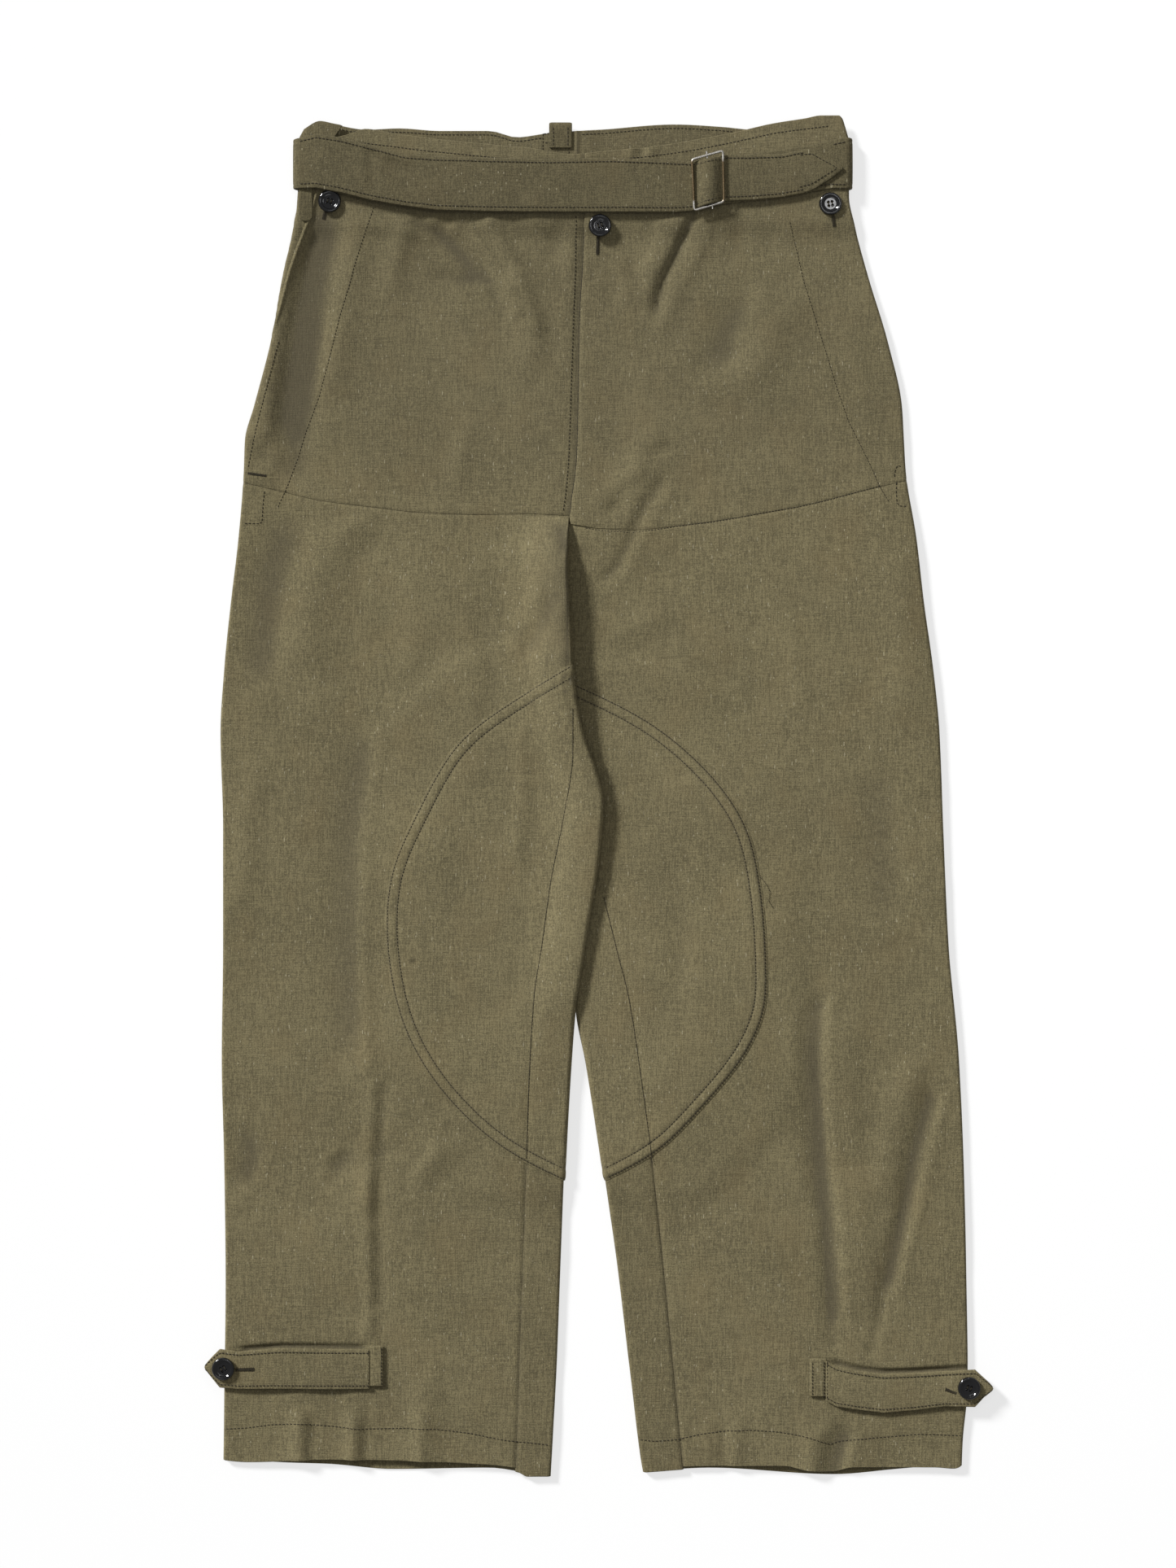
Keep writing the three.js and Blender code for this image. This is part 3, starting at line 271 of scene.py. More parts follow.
# Smaller creases that only the cloth shows
FINE_FOLDS = [
    (0.7, 4, [(-176, 441), (-130, 432)]),
    (-0.5, 3, [(235, -282), (176, -289)]),
    (-0.45, 3, [(6, 6), (45, 12), (81, 21)]),
    (0.8, 5, [(-115, -270), (-139, -267)]),
    (-0.8, 5, [(-181, -278), (-150, -272)]),
    (0.6, 5, [(-80, -273), (-76, -290)]),
    (0.8, 6, [(-177, 218), (-210, 197)]),
    (-0.9, 7, [(-160, 205), (-196, 178)]),
    (1.0, 4, [(25, 496), (27, 508)]),
    (-1.0, 3.5, [(33, 497), (35, 509)]),
    (0.9, 4, [(40, 498), (43, 511)]),
    (-1.7, 6, [(-33, 162), (-42, 136), (-57, 104)]),
    (1.0, 7, [(-46, 168), (-58, 132), (-70, 104)]),
    (-2.2, 4, [(-28, 214), (-29, 201), (-26, 184)]),
    (-1.4, 4.5, [(-131, 404), (-112, 399), (-88, 402)]),
    (-1.6, 5, [(-140, 444), (-112, 428), (-84, 396), (-68, 366)]),
    (1.4, 5, [(-128, 444), (-100, 430), (-72, 396), (-58, 366)]),
    (0.8, 9, [(60, 150), (30, 130), (4, 122)]),
    (-0.7, 7, [(110, 440), (104, 420), (92, 404)]),
    (0.7, 9, [(-20, 430), (-26, 380), (-24, 320)]),
    (0.6, 10, [(190, 380), (205, 320), (214, 262)]),
    (1.5, 5, [(-113, 436), (-96, 412), (-90, 398)]),
    (-1.2, 4.5, [(-104, 438), (-86, 408), (-80, 392)]),
    (1.3, 5, [(-84, 444), (-66, 412), (-58, 394), (-44, 352)]),
    (0.8, 5, [(86, 440), (68, 402), (55, 378), (47, 356)]),
    (-0.7, 3.5, [(70, 444), (54, 408), (42, 384)]),
    (0.8, 5, [(50, 440), (40, 412), (32, 396)]),
    (0.8, 7, [(136, 396), (116, 368), (102, 340)]),
    (0.45, 5, [(60, 242), (48, 223), (39, 207), (32, 191), (23, 171), (8, 156)]),
    (0.6, 6, [(48, 284), (34, 262), (20, 238)]),
    (-1.0, 6, [(30, 250), (14, 226), (2, 214)]),
    (1.2, 7, [(-206, 440), (-212, 405), (-219, 362)]),
    (1.0, 6, [(-166, 60), (-180, -30), (-182, -110), (-179, -190), (-176, -219)]),
    (-1.1, 5, [(160, -160), (159, -205), (164, -273), (170, -327)]),
    (0.9, 5, [(179, -150), (177, -202), (182, -273), (188, -327), (194, -405)]),
    (0.9, 5, [(270, -224), (256, -275), (248, -316), (230, -392)]),
    (1.0, 5, [(208, -486), (197, -502), (192, -522)]),
    (-0.9, 5, [(-124, -262), (-156, -300)]),
    (1.0, 4, [(-193, -268), (-218, -287)]),
    (0.9, 6, [(-268, -244), (-258, -275), (-267, -312)]),
    (0.8, 6, [(-60, 60), (-58, 0), (-66, -60)]),
    (-0.8, 9, [(60, -40), (66, -100), (58, -170)]),
    (0.8, 9, [(-96, 300), (-110, 250), (-112, 226)]),
    (-0.9, 10, [(90, 230), (70, 246), (58, 280)]),
    (0.7, 8, [(120, 170), (150, 120), (160, 60)]),
    (3.0, 11, [(-232, 436), (-239, 405), (-246, 362), (-254, 312), (-260, 262)]),
    (-1.4, 10, [(-206, 430), (-214, 380), (-222, 330), (-234, 280), (-240, 240)]),
    (1.3, 8, [(-150, 438), (-158, 410), (-162, 380)]),
    (-0.8, 6, [(-30, 440), (-36, 420), (-38, 404)]),
    (1.0, 6, [(14, 424), (22, 396), (20, 372)]),
    (1.0, 9, [(-262, 40), (-272, -20), (-276, -90)]),
    (-0.9, 8, [(-90, 150), (-80, 100), (-84, 50)]),
    (0.9, 10, [(-150, 180), (-140, 130), (-150, 80)]),
    (1.2, 5, [(-174, -215), (-178, -285), (-179, -330), (-177, -400), (-179, -424)]),
    (-1.1, 5, [(-165, -215), (-169, -285), (-170, -330), (-168, -400)]),
    (-1.3, 3, [(166, -190), (170, -240), (172, -300), (176, -360), (182, -430)]),
    (-1.2, 3, [(258, -225), (244, -273), (237, -315), (221, -385), (210, -436)]),
    (1.0, 4, [(-231, -470), (-233, -512)]),
    (-1.2, 4, [(-221, -474), (-222, -516)]),
    (1.1, 4, [(-190, -468), (-191, -512)]),
    (-1.0, 4, [(-179, -470), (-181, -518)]),
    (0.9, 5, [(-137, -470), (-139, -516)]),
    (-0.8, 5, [(98, -480), (96, -518)]),
    (0.8, 5, [(106, -478), (106, -518)]),
    (-3.0, 1.9, [(-180, -426.8), (-212, -426.3), (-246, -425.7), (-278, -428.2)]),
    (-3.0, 1.9, [(180, -437.6), (198, -442.7), (220, -445.6), (245, -444.9), (267, -443.5), (288, -442.4)]),
]


def rounded(rows, step=8.0, passes=5):
    """The same table with a row every few millimetres and its corners rounded."""
    curve = Curve(rows, "x")
    y = np.linspace(rows["y"].max(), rows["y"].min(), int(np.ptp(rows["y"]) / step) + 1)
    x = curve(y)
    for _ in range(passes):
        x[1:-1] = (x[:-2] + 2 * x[1:-1] + x[2:]) / 4
    return table(("y", "x"), list(zip(y, x)))


CURVES = {
    "side_left": Curve(SIDES, "left"),
    "side_right": Curve(SIDES, "right"),
    "arch": Curve(ARCH, "lift"),
    "arch_span": Curve(ARCH_SPAN, "share", "at"),
    "waist_front": Curve(WAIST_FRONT, "y", "x"),
    "waist_back": Curve(WAIST_BACK, "y", "x"),
    "fly": Curve(FLY, "x"),
    "hem_front": Curve(HEM_FRONT, "y", "x"),
    "hem_back": Curve(HEM_BACK, "y", "x"),
    "opening": Curve(SIDE_OPENING, "x"),
}
for side in HALVES:
    CURVES["inner_" + side] = Curve(INNER, side)
    CURVES["inseam_" + side] = Curve(INSEAM, side)
    CURVES["cross_" + side] = Curve(CROSS[side], "y", "x")
    CURVES["patch_" + side] = Curve(rounded(PATCH[side]), "x")


def outer_edge(half, y):
    """The wearer's right half lies on the left of the picture."""
    return CURVES["side_left" if half == "right" else "side_right"](y)


def inner_edge(half, y):
    return CURVES["inner_" + half](y)


def limits(half, y):
    """Left and right limits of the flattened tube at height y."""
    y = np.asarray(y, float)
    left = CURVES["side_left"](y)
    right = CURVES["side_right"](y)
    leg = y < CROTCH_Y
    if half == "right":
        return left, np.where(leg, CURVES["inner_right"](y), right)
    return np.where(leg, CURVES["inner_left"](y), left), right


def path_distance(path, x, y):
    best = np.full(np.shape(x), np.inf)
    for (ax, ay), (bx, by) in zip(path, path[1:]):
        dx, dy = bx - ax, by - ay
        t = np.clip(((x - ax) * dx + (y - ay) * dy) / (dx * dx + dy * dy), 0, 1)
        best = np.minimum(best, np.hypot(x - ax - t * dx, y - ay - t * dy))
    return best


TAPER_WIDTHS = 2.2
TAPER_SHARE = 0.35


def taper(path, width, x, y):
    """Fades a crease out at its free ends, not at the hem or under the belt."""
    length = sum(math.dist(a, b) for a, b in zip(path, path[1:]))
    reach = min(TAPER_WIDTHS * width, TAPER_SHARE * length)
    fade = 1.0
    for end_x, end_y in (path[0], path[-1]):
        if HEM_CREASES < end_y < UNDER_BELT[0]:
            fade = fade * ease(0, reach, np.hypot(x - end_x, y - end_y))
    return fade


def creases(folds, x, y):
    """Sum of all the folds at each point; below 0 in a trough."""
    total = np.zeros(np.shape(x))
    for height, width, path in folds:
        xs = [p[0] for p in path]
        ys = [p[1] for p in path]
        reach = CREASE_REACH * width
        near = (x > min(xs) - reach) & (x < max(xs) + reach) & (y > min(ys) - reach) & (y < max(ys) + reach)
        if near.any():
            shape = bell(path_distance(path, x[near], y[near]), width)
            total[near] += height * shape * taper(path, width, x[near], y[near])
    return total


# Slow waves of cloth that was pressed and laid by hand: direction, wave length, height, phase
RIPPLES = table(("angle", "length", "height", "phase"), [
    (12, 118, 0.20, 0.4), (97, 163, 0.22, 2.1), (64, 74, 0.13, 4.0), (148, 91, 0.13, 1.2),
    (33, 47, 0.07, 5.1), (121, 39, 0.06, 3.3), (80, 27, 0.04, 0.9), (5, 22, 0.035, 2.7),
])


def ripples(x, y):
    total = np.zeros(np.shape(x))
    bend = 9 * np.sin(y / 61.0 + 0.7) + 7 * np.sin(x / 47.0)
    for angle, length, height, phase in zip(*RIPPLES.values()):
        a = math.radians(angle)
        along = x * math.cos(a) + y * math.sin(a) + bend
        total += height * np.sin(along * 2 * math.pi / length + phase)
    return total


def patch_width(half, y):
    return np.abs(inner_edge(half, y) - CURVES["patch_" + half](y))


# How far the cloth takes to come down beside the centre loop and round a hidden patch
LOOP_SLOPE = 22
PATCH_SLOPE_ALONG = (4, 26)
PATCH_SLOPE_ACROSS = (10, 44)
PATCH_SPREAD = 38


def underside(half, x, y):
    """Height of the underside: raised over the belt, the loop, the hidden patch and the other leg."""
    x, y = np.broadcast_arrays(np.asarray(x, float), np.asarray(y, float))
    waist = ease(*UNDER_BELT, y)
    beside = ease(LOOP_WIDTH, LOOP_WIDTH + LOOP_SLOPE, np.abs(x - LOOP_X))
    z = (STRAP_CLOTH + SEAM_GAP) * waist + (LOOP_CLOTH + SEAM_GAP) * waist * (1 - beside)
    leg = y < CROTCH_Y
    inward = (inner_edge(half, y) - x) * SIGN[half]
    low, high = PATCH[half]["y"].min(), PATCH[half]["y"].max()
    near, far = PATCH_SLOPE_ALONG
    span = ease(low - far, low - near, y) * (1 - ease(high + near, high + far, y))
    steps = [patch_width(half, np.clip(y + step, low, high)) for step in (-PATCH_SPREAD, 0, PATCH_SPREAD)]
    width = np.max(steps, axis=0)
    near, far = PATCH_SLOPE_ACROSS
    lift = PATCH_LIFT * span * (1 - ease(width + near, width + far, inward))
    if half == "right":
        lift = lift + CURVES["arch"](y) * CURVES["arch_span"](-inward)
    return z + np.where(leg, lift, 0)


def upperside(half, x, y, fine=True):
    """Height of the upper face before its edges round off."""
    x, y = np.broadcast_arrays(np.asarray(x, float), np.asarray(y, float))
    total = creases(FOLDS, x, y) * CREASE_DEPTH
    if fine:
        total = total + creases(FINE_FOLDS, x, y) * FINE_DEPTH + ripples(x, y)
    folds = np.where(total < 0, -FOLD_DEPTH * np.tanh(-total / FOLD_DEPTH), total)
    return underside(half, x, y) + LOFT + folds


# Painted shade: its strength and where it starts and is full
CREASE_SHADE = 0.9
CREASE_SHADE_DEPTHS = (0.3, 3.2)
SEAM_SHADE = 0.5
UPPER_SHADE = 0.24
UPPER_SHADE_HEIGHTS = (190, 310)
BELT_SHADOW = 0.6
BELT_SHADOW_WIDTH = 3.2
BELT_SHADOW_ABOVE = 6
# Rims of every wall: a fixed darkening
RIM_DARKENING = 0.35


def belt_lower_edge(x):
    rows = np.array(BELT_FRONT)
    return np.interp(x, rows[:, 0], rows[:, 2])


def shade_to_paint(face, lift=0.0):
    """Painted shade 0 to 1: deep creases, sunken seams, the upper part, and a shadow under the belt."""
    x, y = face[..., 0], face[..., 1]
    deep = creases(FOLDS, x, y) + creases(FINE_FOLDS, x, y)
    # Painted shade in crease troughs and where the cloth sinks into its seams
    wear_and_shade = CREASE_SHADE * ease(*CREASE_SHADE_DEPTHS, -deep)
    sunken = np.clip(-np.asarray(lift) - 0.1, 0, SEAM_SHADE)
    # Painted shadow just below the belt's lower edge
    below = belt_lower_edge(x) - y
    shadow_below_belt = BELT_SHADOW * bell(below, BELT_SHADOW_WIDTH) * (below > -BELT_SHADOW_ABOVE)
    # Painted shade over the upper part, growing towards the waist
    return np.clip(wear_and_shade + sunken + UPPER_SHADE * ease(*UPPER_SHADE_HEIGHTS, y) + shadow_below_belt, 0, 1)


def face_height(half, over, x, y):
    """Height of the cloth's outer face, over or under, with the tube's edges rounded."""
    left, right = limits(half, y)
    inner_round = EDGE_ROUND * ease(-6, 24, CROTCH_Y - y) + CROTCH_ROUND
    far_round = np.where(y < CROTCH_Y, inner_round, EDGE_ROUND)
    out_gap, far_gap = (x - left, right - x) if half == "right" else (right - x, x - left)
    near = np.clip(np.minimum(out_gap / EDGE_ROUND, far_gap / far_round), 0, 1)
    cap = np.sqrt(np.clip(1 - (1 - near) ** 2, 0, 1))
    low = underside(half, x, y)
    high = upperside(half, x, y)
    middle = (low + high) / 2
    return middle + (high - middle) * cap if over else middle - (middle - low) * cap


def top_of(half, x, y):
    """Upper face for laying trims and stitches on."""
    return face_height(half, True, np.asarray(x, float), np.asarray(y, float))


def place(half, q, y):
    """Point at distance q from the outer edge: over the cloth if positive, under it if negative."""
    left, right = limits(half, y)
    out, far = (left, right) if half == "right" else (right, left)
    width = np.abs(far - out)
    a = np.abs(q)
    past = a > width
    x = np.where(past, far - SIGN[half] * (a - width), out + SIGN[half] * a)
    over = (q > 0) ^ past
    z = np.where(over, face_height(half, True, x, y), face_height(half, False, x, y))
    return np.stack([x, y, z], axis=-1)


def tube_width(half, y):
    left, right = limits(half, y)
    return right - left


def opening_width(half, y):
    """Width of the back's strip that shows on top at the side opening."""
    if half == "left":
        return np.zeros(np.shape(y))
    wide = CURVES["opening"](y) - outer_edge(half, y)
    return np.where(y > OPENING_FOOT, wide * ease(OPENING_FOOT + 5, OPENING_FOOT + 22, y), 0)


def inner_strip(half, y):
    """Distance of the inseam from the inner edge, on top."""
    strip = np.abs(inner_edge(half, y) - CURVES["inseam_" + half](np.minimum(y, FLAT_TOP)))
    return np.where(y < FLAT_TOP, np.maximum(strip, 3), 3 * ease(CROTCH_Y, FLAT_TOP, y))


def centre_distance(half, y, x):
    return np.abs(x - outer_edge(half, y))


# Meshes
def link(thing):
    bpy.context.scene.collection.objects.link(thing)
    return thing


def new_object(name, points, faces, material, sharp=42.0, painted_shade=None):
    mesh = bpy.data.meshes.new(name)
    mesh.from_pydata((np.asarray(points) * MM).tolist(), [], faces)
    # Painted shade per point, which the canvas material reads
    if painted_shade is not None:
        mesh.attributes.new("painted_shade", "FLOAT", "POINT").data.foreach_set("value", painted_shade)
    mesh.validate()
    mesh.shade_smooth()
    mesh.set_sharp_from_angle(angle=math.radians(sharp))
    mesh.materials.append(material)
    return link(bpy.data.objects.new(name, mesh))


def grid_faces(rows, cols, start, flip):
    a = np.arange(rows - 1)[:, None] * cols + np.arange(cols - 1)[None, :] + start
    quads = np.stack([a, a + 1, a + 1 + cols, a + cols], axis=-1).reshape(-1, 4)
    return (quads[:, ::-1] if flip else quads).tolist()


def grid_normals(face):
    n = np.cross(np.gradient(face, axis=1), np.gradient(face, axis=0))
    return n / np.maximum(np.linalg.norm(n, axis=2, keepdims=True), 1e-9)


def cut_size(face):
    """Width, length and area of a grid of cloth, in mm."""
    across = np.linalg.norm(np.diff(face, axis=1), axis=2)
    along = np.linalg.norm(np.diff(face, axis=0), axis=2)
    cell = (across[:-1] + across[1:]) / 2 * (along[:, :-1] + along[:, 1:]) / 2
    return across.sum(axis=1).max(), along.sum(axis=0).max(), cell.sum()


def cloth_wall(name, face, thickness, turn, material, lift=0.0, painted_shade=0.0):
    """Wall of cloth from a grid, its outer face moved out by lift, with a rounded rim."""
    n = grid_normals(face) * turn
    outer = face + n * np.broadcast_to(lift, face.shape[:2])[..., None]
    inner = outer - n * thickness
    rows, cols = face.shape[:2]
    flip = turn < 0
    low = rows * cols
    faces = grid_faces(rows, cols, 0, flip) + grid_faces(rows, cols, low, not flip)
    ring = [(0, c) for c in range(cols)] + [(r, cols - 1) for r in range(1, rows)]
    ring += [(rows - 1, c) for c in range(cols - 2, -1, -1)] + [(r, 0) for r in range(rows - 2, 0, -1)]
    rim = []
    for r, c in ring:
        inside = (min(max(r, 1), rows - 2), min(max(c, 1), cols - 2))
        away = outer[r, c] - outer[inside]
        away = away - n[r, c] * (away @ n[r, c])
        away = away / max(np.linalg.norm(away), 1e-6)
        rim.append((outer[r, c] + inner[r, c]) / 2 + away * thickness * 0.4)
    for i, (r, c) in enumerate(ring):
        j = (i + 1) % len(ring)
        a, b = r * cols + c, ring[j][0] * cols + ring[j][1]
        quads = [[b, a, 2 * low + i, 2 * low + j], [2 * low + j, 2 * low + i, a + low, b + low]]
        faces += [q[::-1] for q in quads] if flip else quads
    points = np.concatenate([outer.reshape(-1, 3), inner.reshape(-1, 3), np.array(rim)])
    # Painted shade per point for the material; the rims get a fixed darkening
    wear_and_shade = np.broadcast_to(painted_shade, (rows, cols)).ravel()
    wear_and_shade = np.concatenate([wear_and_shade, wear_and_shade, np.full(len(rim), RIM_DARKENING)])
    return new_object(name, points, faces, material, painted_shade=wear_and_shade)


RIM_STEPS = np.array([0, 0.6, 1.3, 2.2, 3.4, 5.0])


def spaced(length, step, first=RIM_STEPS, last=RIM_STEPS):
    """Positions along a length: fine at both ends, even between."""
    count = max(int(round((length - first[-1] - last[-1]) / step)), 2)
    middle = np.linspace(first[-1], length - last[-1], count + 1)
    return np.concatenate([first[:-1], middle, length - last[-2::-1]])


def shaped_rows(half, heights, column, low, high, reach=60.0):
    """Grid whose rows bend to the low and high edge curves; column(y) gives one q per column."""
    cols = column(heights[:1]).shape[1]

    def q_at(y):
        every = column(y.ravel()).reshape(*y.shape, cols)
        return np.take_along_axis(every, np.arange(cols)[None, :, None], 2)[..., 0]

    base = np.repeat(heights[:, None], cols, axis=1)
    near_low = 1 - ease(heights[0], heights[0] + reach, base)
    near_high = ease(heights[-1] - reach, heights[-1], base)
    y = base.copy()
    for _ in range(4):
        x = place(half, q_at(y), y)[..., 0]
        y = base + (low(x) - heights[0]) * near_low + (high(x) - heights[-1]) * near_high
    return place(half, q_at(y), y)


def edge_gap(face, side):
    """Distance of each grid point from one side of the grid."""
    axis = 1 if side in ("first", "last") else 0
    steps = np.linalg.norm(np.diff(face, axis=axis), axis=2)
    pad = np.zeros((face.shape[0], 1)) if axis == 1 else np.zeros((1, face.shape[1]))
    along = np.concatenate([pad, np.cumsum(steps, axis=axis)], axis=axis)
    if side in ("first", "bottom"):
        return along
    return (along[:, -1:] if axis == 1 else along[-1:]) - along


def sink(face, sides, depth=0.55, width=1.6):
    """Cloth rolls down into its seams along the named sides."""
    total = np.zeros(face.shape[:2])
    for side in sides:
        total = np.maximum(total, bell(edge_gap(face, side), width))
    return -depth * total


# Shader maths
class Value:
    """A number that varies over a surface; operators add Math nodes."""

    def __init__(self, graph, socket):
        self.graph = graph
        self.socket = socket

    def math(self, operation, *others):
        return self.graph.node("ShaderNodeMath", {"operation": operation}, dict(enumerate((self, *others))))

    def __add__(self, other):
        return self.math("ADD", other)

    __radd__ = __add__

    def __sub__(self, other):
        return self.math("SUBTRACT", other)

    def __rsub__(self, other):
        return self.graph.node("ShaderNodeMath", {"operation": "SUBTRACT"}, {0: other, 1: self})

    def __mul__(self, other):
        return self.math("MULTIPLY", other)

    __rmul__ = __mul__

    def __lt__(self, other):
        return self.math("LESS_THAN", other)

    def __gt__(self, other):
        return self.math("GREATER_THAN", other)

    def between(self, low, high):
        """0 at low, 1 at high, smooth between."""
        settings = {"interpolation_type": "SMOOTHSTEP"}
        ends = {"Value": self, "From Min": low, "From Max": high}
        return self.graph.node("ShaderNodeMapRange", settings, ends)


class Graph:
    """Nodes of one material."""

    def __init__(self, name, roughness, metallic=0.0, coat=0.0, specular=0.5):
        self.material = bpy.data.materials.new(name)
        self.material.use_nodes = True
        self.tree = self.material.node_tree
        self.shader = self.tree.nodes["Principled BSDF"]
        self.shader.inputs["Roughness"].default_value = roughness
        self.shader.inputs["Metallic"].default_value = metallic
        self.shader.inputs["Coat Weight"].default_value = coat
        self.shader.inputs["Specular IOR Level"].default_value = specular

    def node(self, kind, settings=None, inputs=None, output=0):
        made = self.tree.nodes.new(kind)
        for key, value in (settings or {}).items():
            setattr(made, key, value)
        for key, value in (inputs or {}).items():
            self.feed(made.inputs[key], value)
        return Value(self, made.outputs[output])

    def feed(self, socket, value):
        if isinstance(value, Value):
            self.tree.links.new(value.socket, socket)
        else:
            socket.default_value = value

    def millimetres(self):
        place_on = self.node("ShaderNodeTexCoord", output="Object")
        scale = {"operation": "SCALE"}
        return self.node("ShaderNodeVectorMath", scale, {0: place_on, "Scale": 1000.0})

    def stretched(self, vector, scales, shift=(0, 0, 0)):
        settings = {"operation": "MULTIPLY_ADD"}
        return self.node("ShaderNodeVectorMath", settings, {0: vector, 1: scales, 2: shift})

    def noise(self, vector, detail=2.0, roughness=0.5):
        sizes = {"Vector": vector, "Scale": 1.0, "Detail": detail, "Roughness": roughness}
        return self.node("ShaderNodeTexNoise", None, sizes, "Fac")

    def blend(self, factor, a, b):
        settings = {"data_type": "RGBA", "blend_type": "MIX"}
        return self.node("ShaderNodeMix", settings, {"Factor": factor, 6: a, 7: b}, 2)

    def bump(self, height, distance, strength=1.0):
        sizes = {"Height": height, "Distance": distance, "Strength": strength}
        return self.node("ShaderNodeBump", None, sizes, "Normal")

    def finish(self, color=None, roughness=None, normal=None):
        for name, value in (("Base Color", color), ("Roughness", roughness), ("Normal", normal)):
            if value is not None:
                self.feed(self.shader.inputs[name], value)
        return self.material


def rgba(color):
    return (*color, 1.0)


def scaled(color, factor):
    return rgba([min(c * factor, 1) for c in color])


STAIN_AT = (-144.0, -126.8, 9.0)
STAIN_EDGES = (2.2, 5.4)
# Layers of pale flecks: shift, sizes and limit
FLECKS = (
    ((3, 5, 1), (0.12, 0.05, 0.09), 0.042),
    ((8, 2, 6), (0.08, 0.12, 0.09), 0.03),
    ((4, 9, 2), (0.1, 0.021, 0.09), 0.034),
)


def canvas_material(cloth, name, shade=1.0):
    """Plain-weave canvas: thick and thin yarns both ways, pale flecks, slow mottling and one old stain."""
    g = Graph(name, 0.95, specular=0.25)
    p = g.millimetres()
    pitch = cloth.yarn_pitch * 1000
    warp = g.noise(g.stretched(p, (1.0 / pitch, 0.09, 0.3)), 1.5)
    weft = g.noise(g.stretched(p, (0.09, 1.0 / pitch, 0.3), (31, 7, 3)), 1.5)
    grain = g.noise(g.stretched(p, (1.0, 1.0, 1.0), (5, 3, 1)), 3.0, 0.75)
    mottle = g.noise(g.stretched(p, (0.011, 0.014, 0.012), (2, 9, 4)), 3.0, 0.55)
    tone = g.noise(g.stretched(p, (0.03, 0.022, 0.03), (17, 1, 8)), 2.0)
    uneven = g.noise(g.stretched(p, (0.75, 0.3, 0.5), (9, 4, 2)), 2.0, 0.7)
    yarns = (warp - 0.5) * 1.5 + (weft - 0.5) * 1.0 + (uneven - 0.5) * 1.6
    mix = 0.5 + yarns + (grain - 0.5) * 3.8 + (mottle - 0.5) * 0.75
    base = cloth.canvas
    color = g.blend(mix, scaled(base, 0.68 * shade), scaled(base, 1.34 * shade))
    warm = (base[0] * 1.12, base[1] * 0.98, base[2] * 0.86)
    color = g.blend(tone.between(0.45, 0.8) * 0.22, color, scaled(warm, shade))
    for shift, sizes, limit in FLECKS:
        near = {"Vector": g.stretched(p, sizes, shift), "Scale": 1.0}
        gap = g.node("ShaderNodeTexVoronoi", {"voronoi_dimensions": "2D"}, near, "Distance")
        some = g.noise(g.stretched(p, (0.02, 0.02, 0.02), shift), 1.0)
        color = g.blend((gap < limit) * some.between(0.42, 0.6) * 0.5, color, rgba(cloth.fleck))
    # Painted shade: the colour turns darker and greyer by the mesh's shade attribute
    painted_shade = g.node("ShaderNodeAttribute", {"attribute_name": "painted_shade"}, None, "Fac")
    shade_colour = (base[0] * 0.52, base[1] * 0.52, base[2] * 0.6)
    color = g.blend(painted_shade * 0.75, color, scaled(shade_colour, shade))
    stain = g.node("ShaderNodeVectorMath", {"operation": "DISTANCE"}, {0: p, 1: STAIN_AT}, "Value")
    stain = (1 - (stain + grain * 3.0).between(*STAIN_EDGES)) * 0.6
    color = g.blend(stain, color, scaled(base, 0.3))
    height = warp * 0.55 + weft * 0.55 + grain * 0.5
    return g.finish(color, normal=g.bump(height, 0.00042))


def thread_material(cloth):
    g = Graph("sewing_thread", 0.8, specular=0.3)
    p = g.millimetres()
    ply = g.noise(g.stretched(p, (2.2, 2.2, 2.2)), 1.0)
    color = g.blend(ply, scaled(cloth.thread, 0.75), scaled(cloth.thread, 1.35))
    return g.finish(color, normal=g.bump(ply, 0.0001))


def button_material(cloth):
    g = Graph("gloss_black_button", 0.1, coat=0.3)
    p = g.millimetres()
    cloud = g.noise(g.stretched(p, (0.4, 0.4, 0.4)), 3.0)
    color = g.blend(cloud, scaled(cloth.button, 0.6), scaled(cloth.button, 1.8))
    scuff = g.noise(g.stretched(p, (1.8, 0.5, 1.0)), 4.0, 0.7)
    return g.finish(color, 0.08 + scuff.between(0.5, 0.85) * 0.16, g.bump(scuff, 0.00004))


PLATED = (0.5, 0.48, 0.44)
TARNISHED = (0.1, 0.08, 0.05)
# Heights between which the brass turns into the plated bars
TOP_BAR = (488.5, 492.0)
BOTTOM_BAR = (457.5, 460.5)


def wire_material(cloth):
    """Brass-toned sides, brighter plated bars at the ends."""
    g = Graph("buckle_wire", 0.3, metallic=1.0)
    p = g.millimetres()
    parts = g.node("ShaderNodeSeparateXYZ", None, {0: p}, "Y")
    plated = parts.between(*TOP_BAR) + (1 - parts.between(*BOTTOM_BAR))
    wear_and_shade = g.noise(g.stretched(p, (0.9, 0.9, 0.9)), 3.0, 0.6)
    color = g.blend(plated, rgba(cloth.brass), rgba(PLATED))
    color = g.blend(wear_and_shade.between(0.52, 0.72) * 0.7, color, rgba(TARNISHED))
    return g.finish(color, 0.24 + wear_and_shade * 0.3, g.bump(wear_and_shade, 0.00006))


# Each canvas: name of its material, and how light it is beside the mean colour
CANVASES = {
    "canvas": ("olive_canvas", 1.0),
    "patch": ("olive_canvas_patch", 1.04),
    "belt": ("olive_canvas_belt", 0.68),
    # The back's copy is darker: painted shade for the inside of the back, seen above the waist edge
    "back": ("olive_canvas_back_shaded", 0.92),
}
TRIMS = {"thread": thread_material, "button": button_material, "wire": wire_material}
MATERIALS = {}


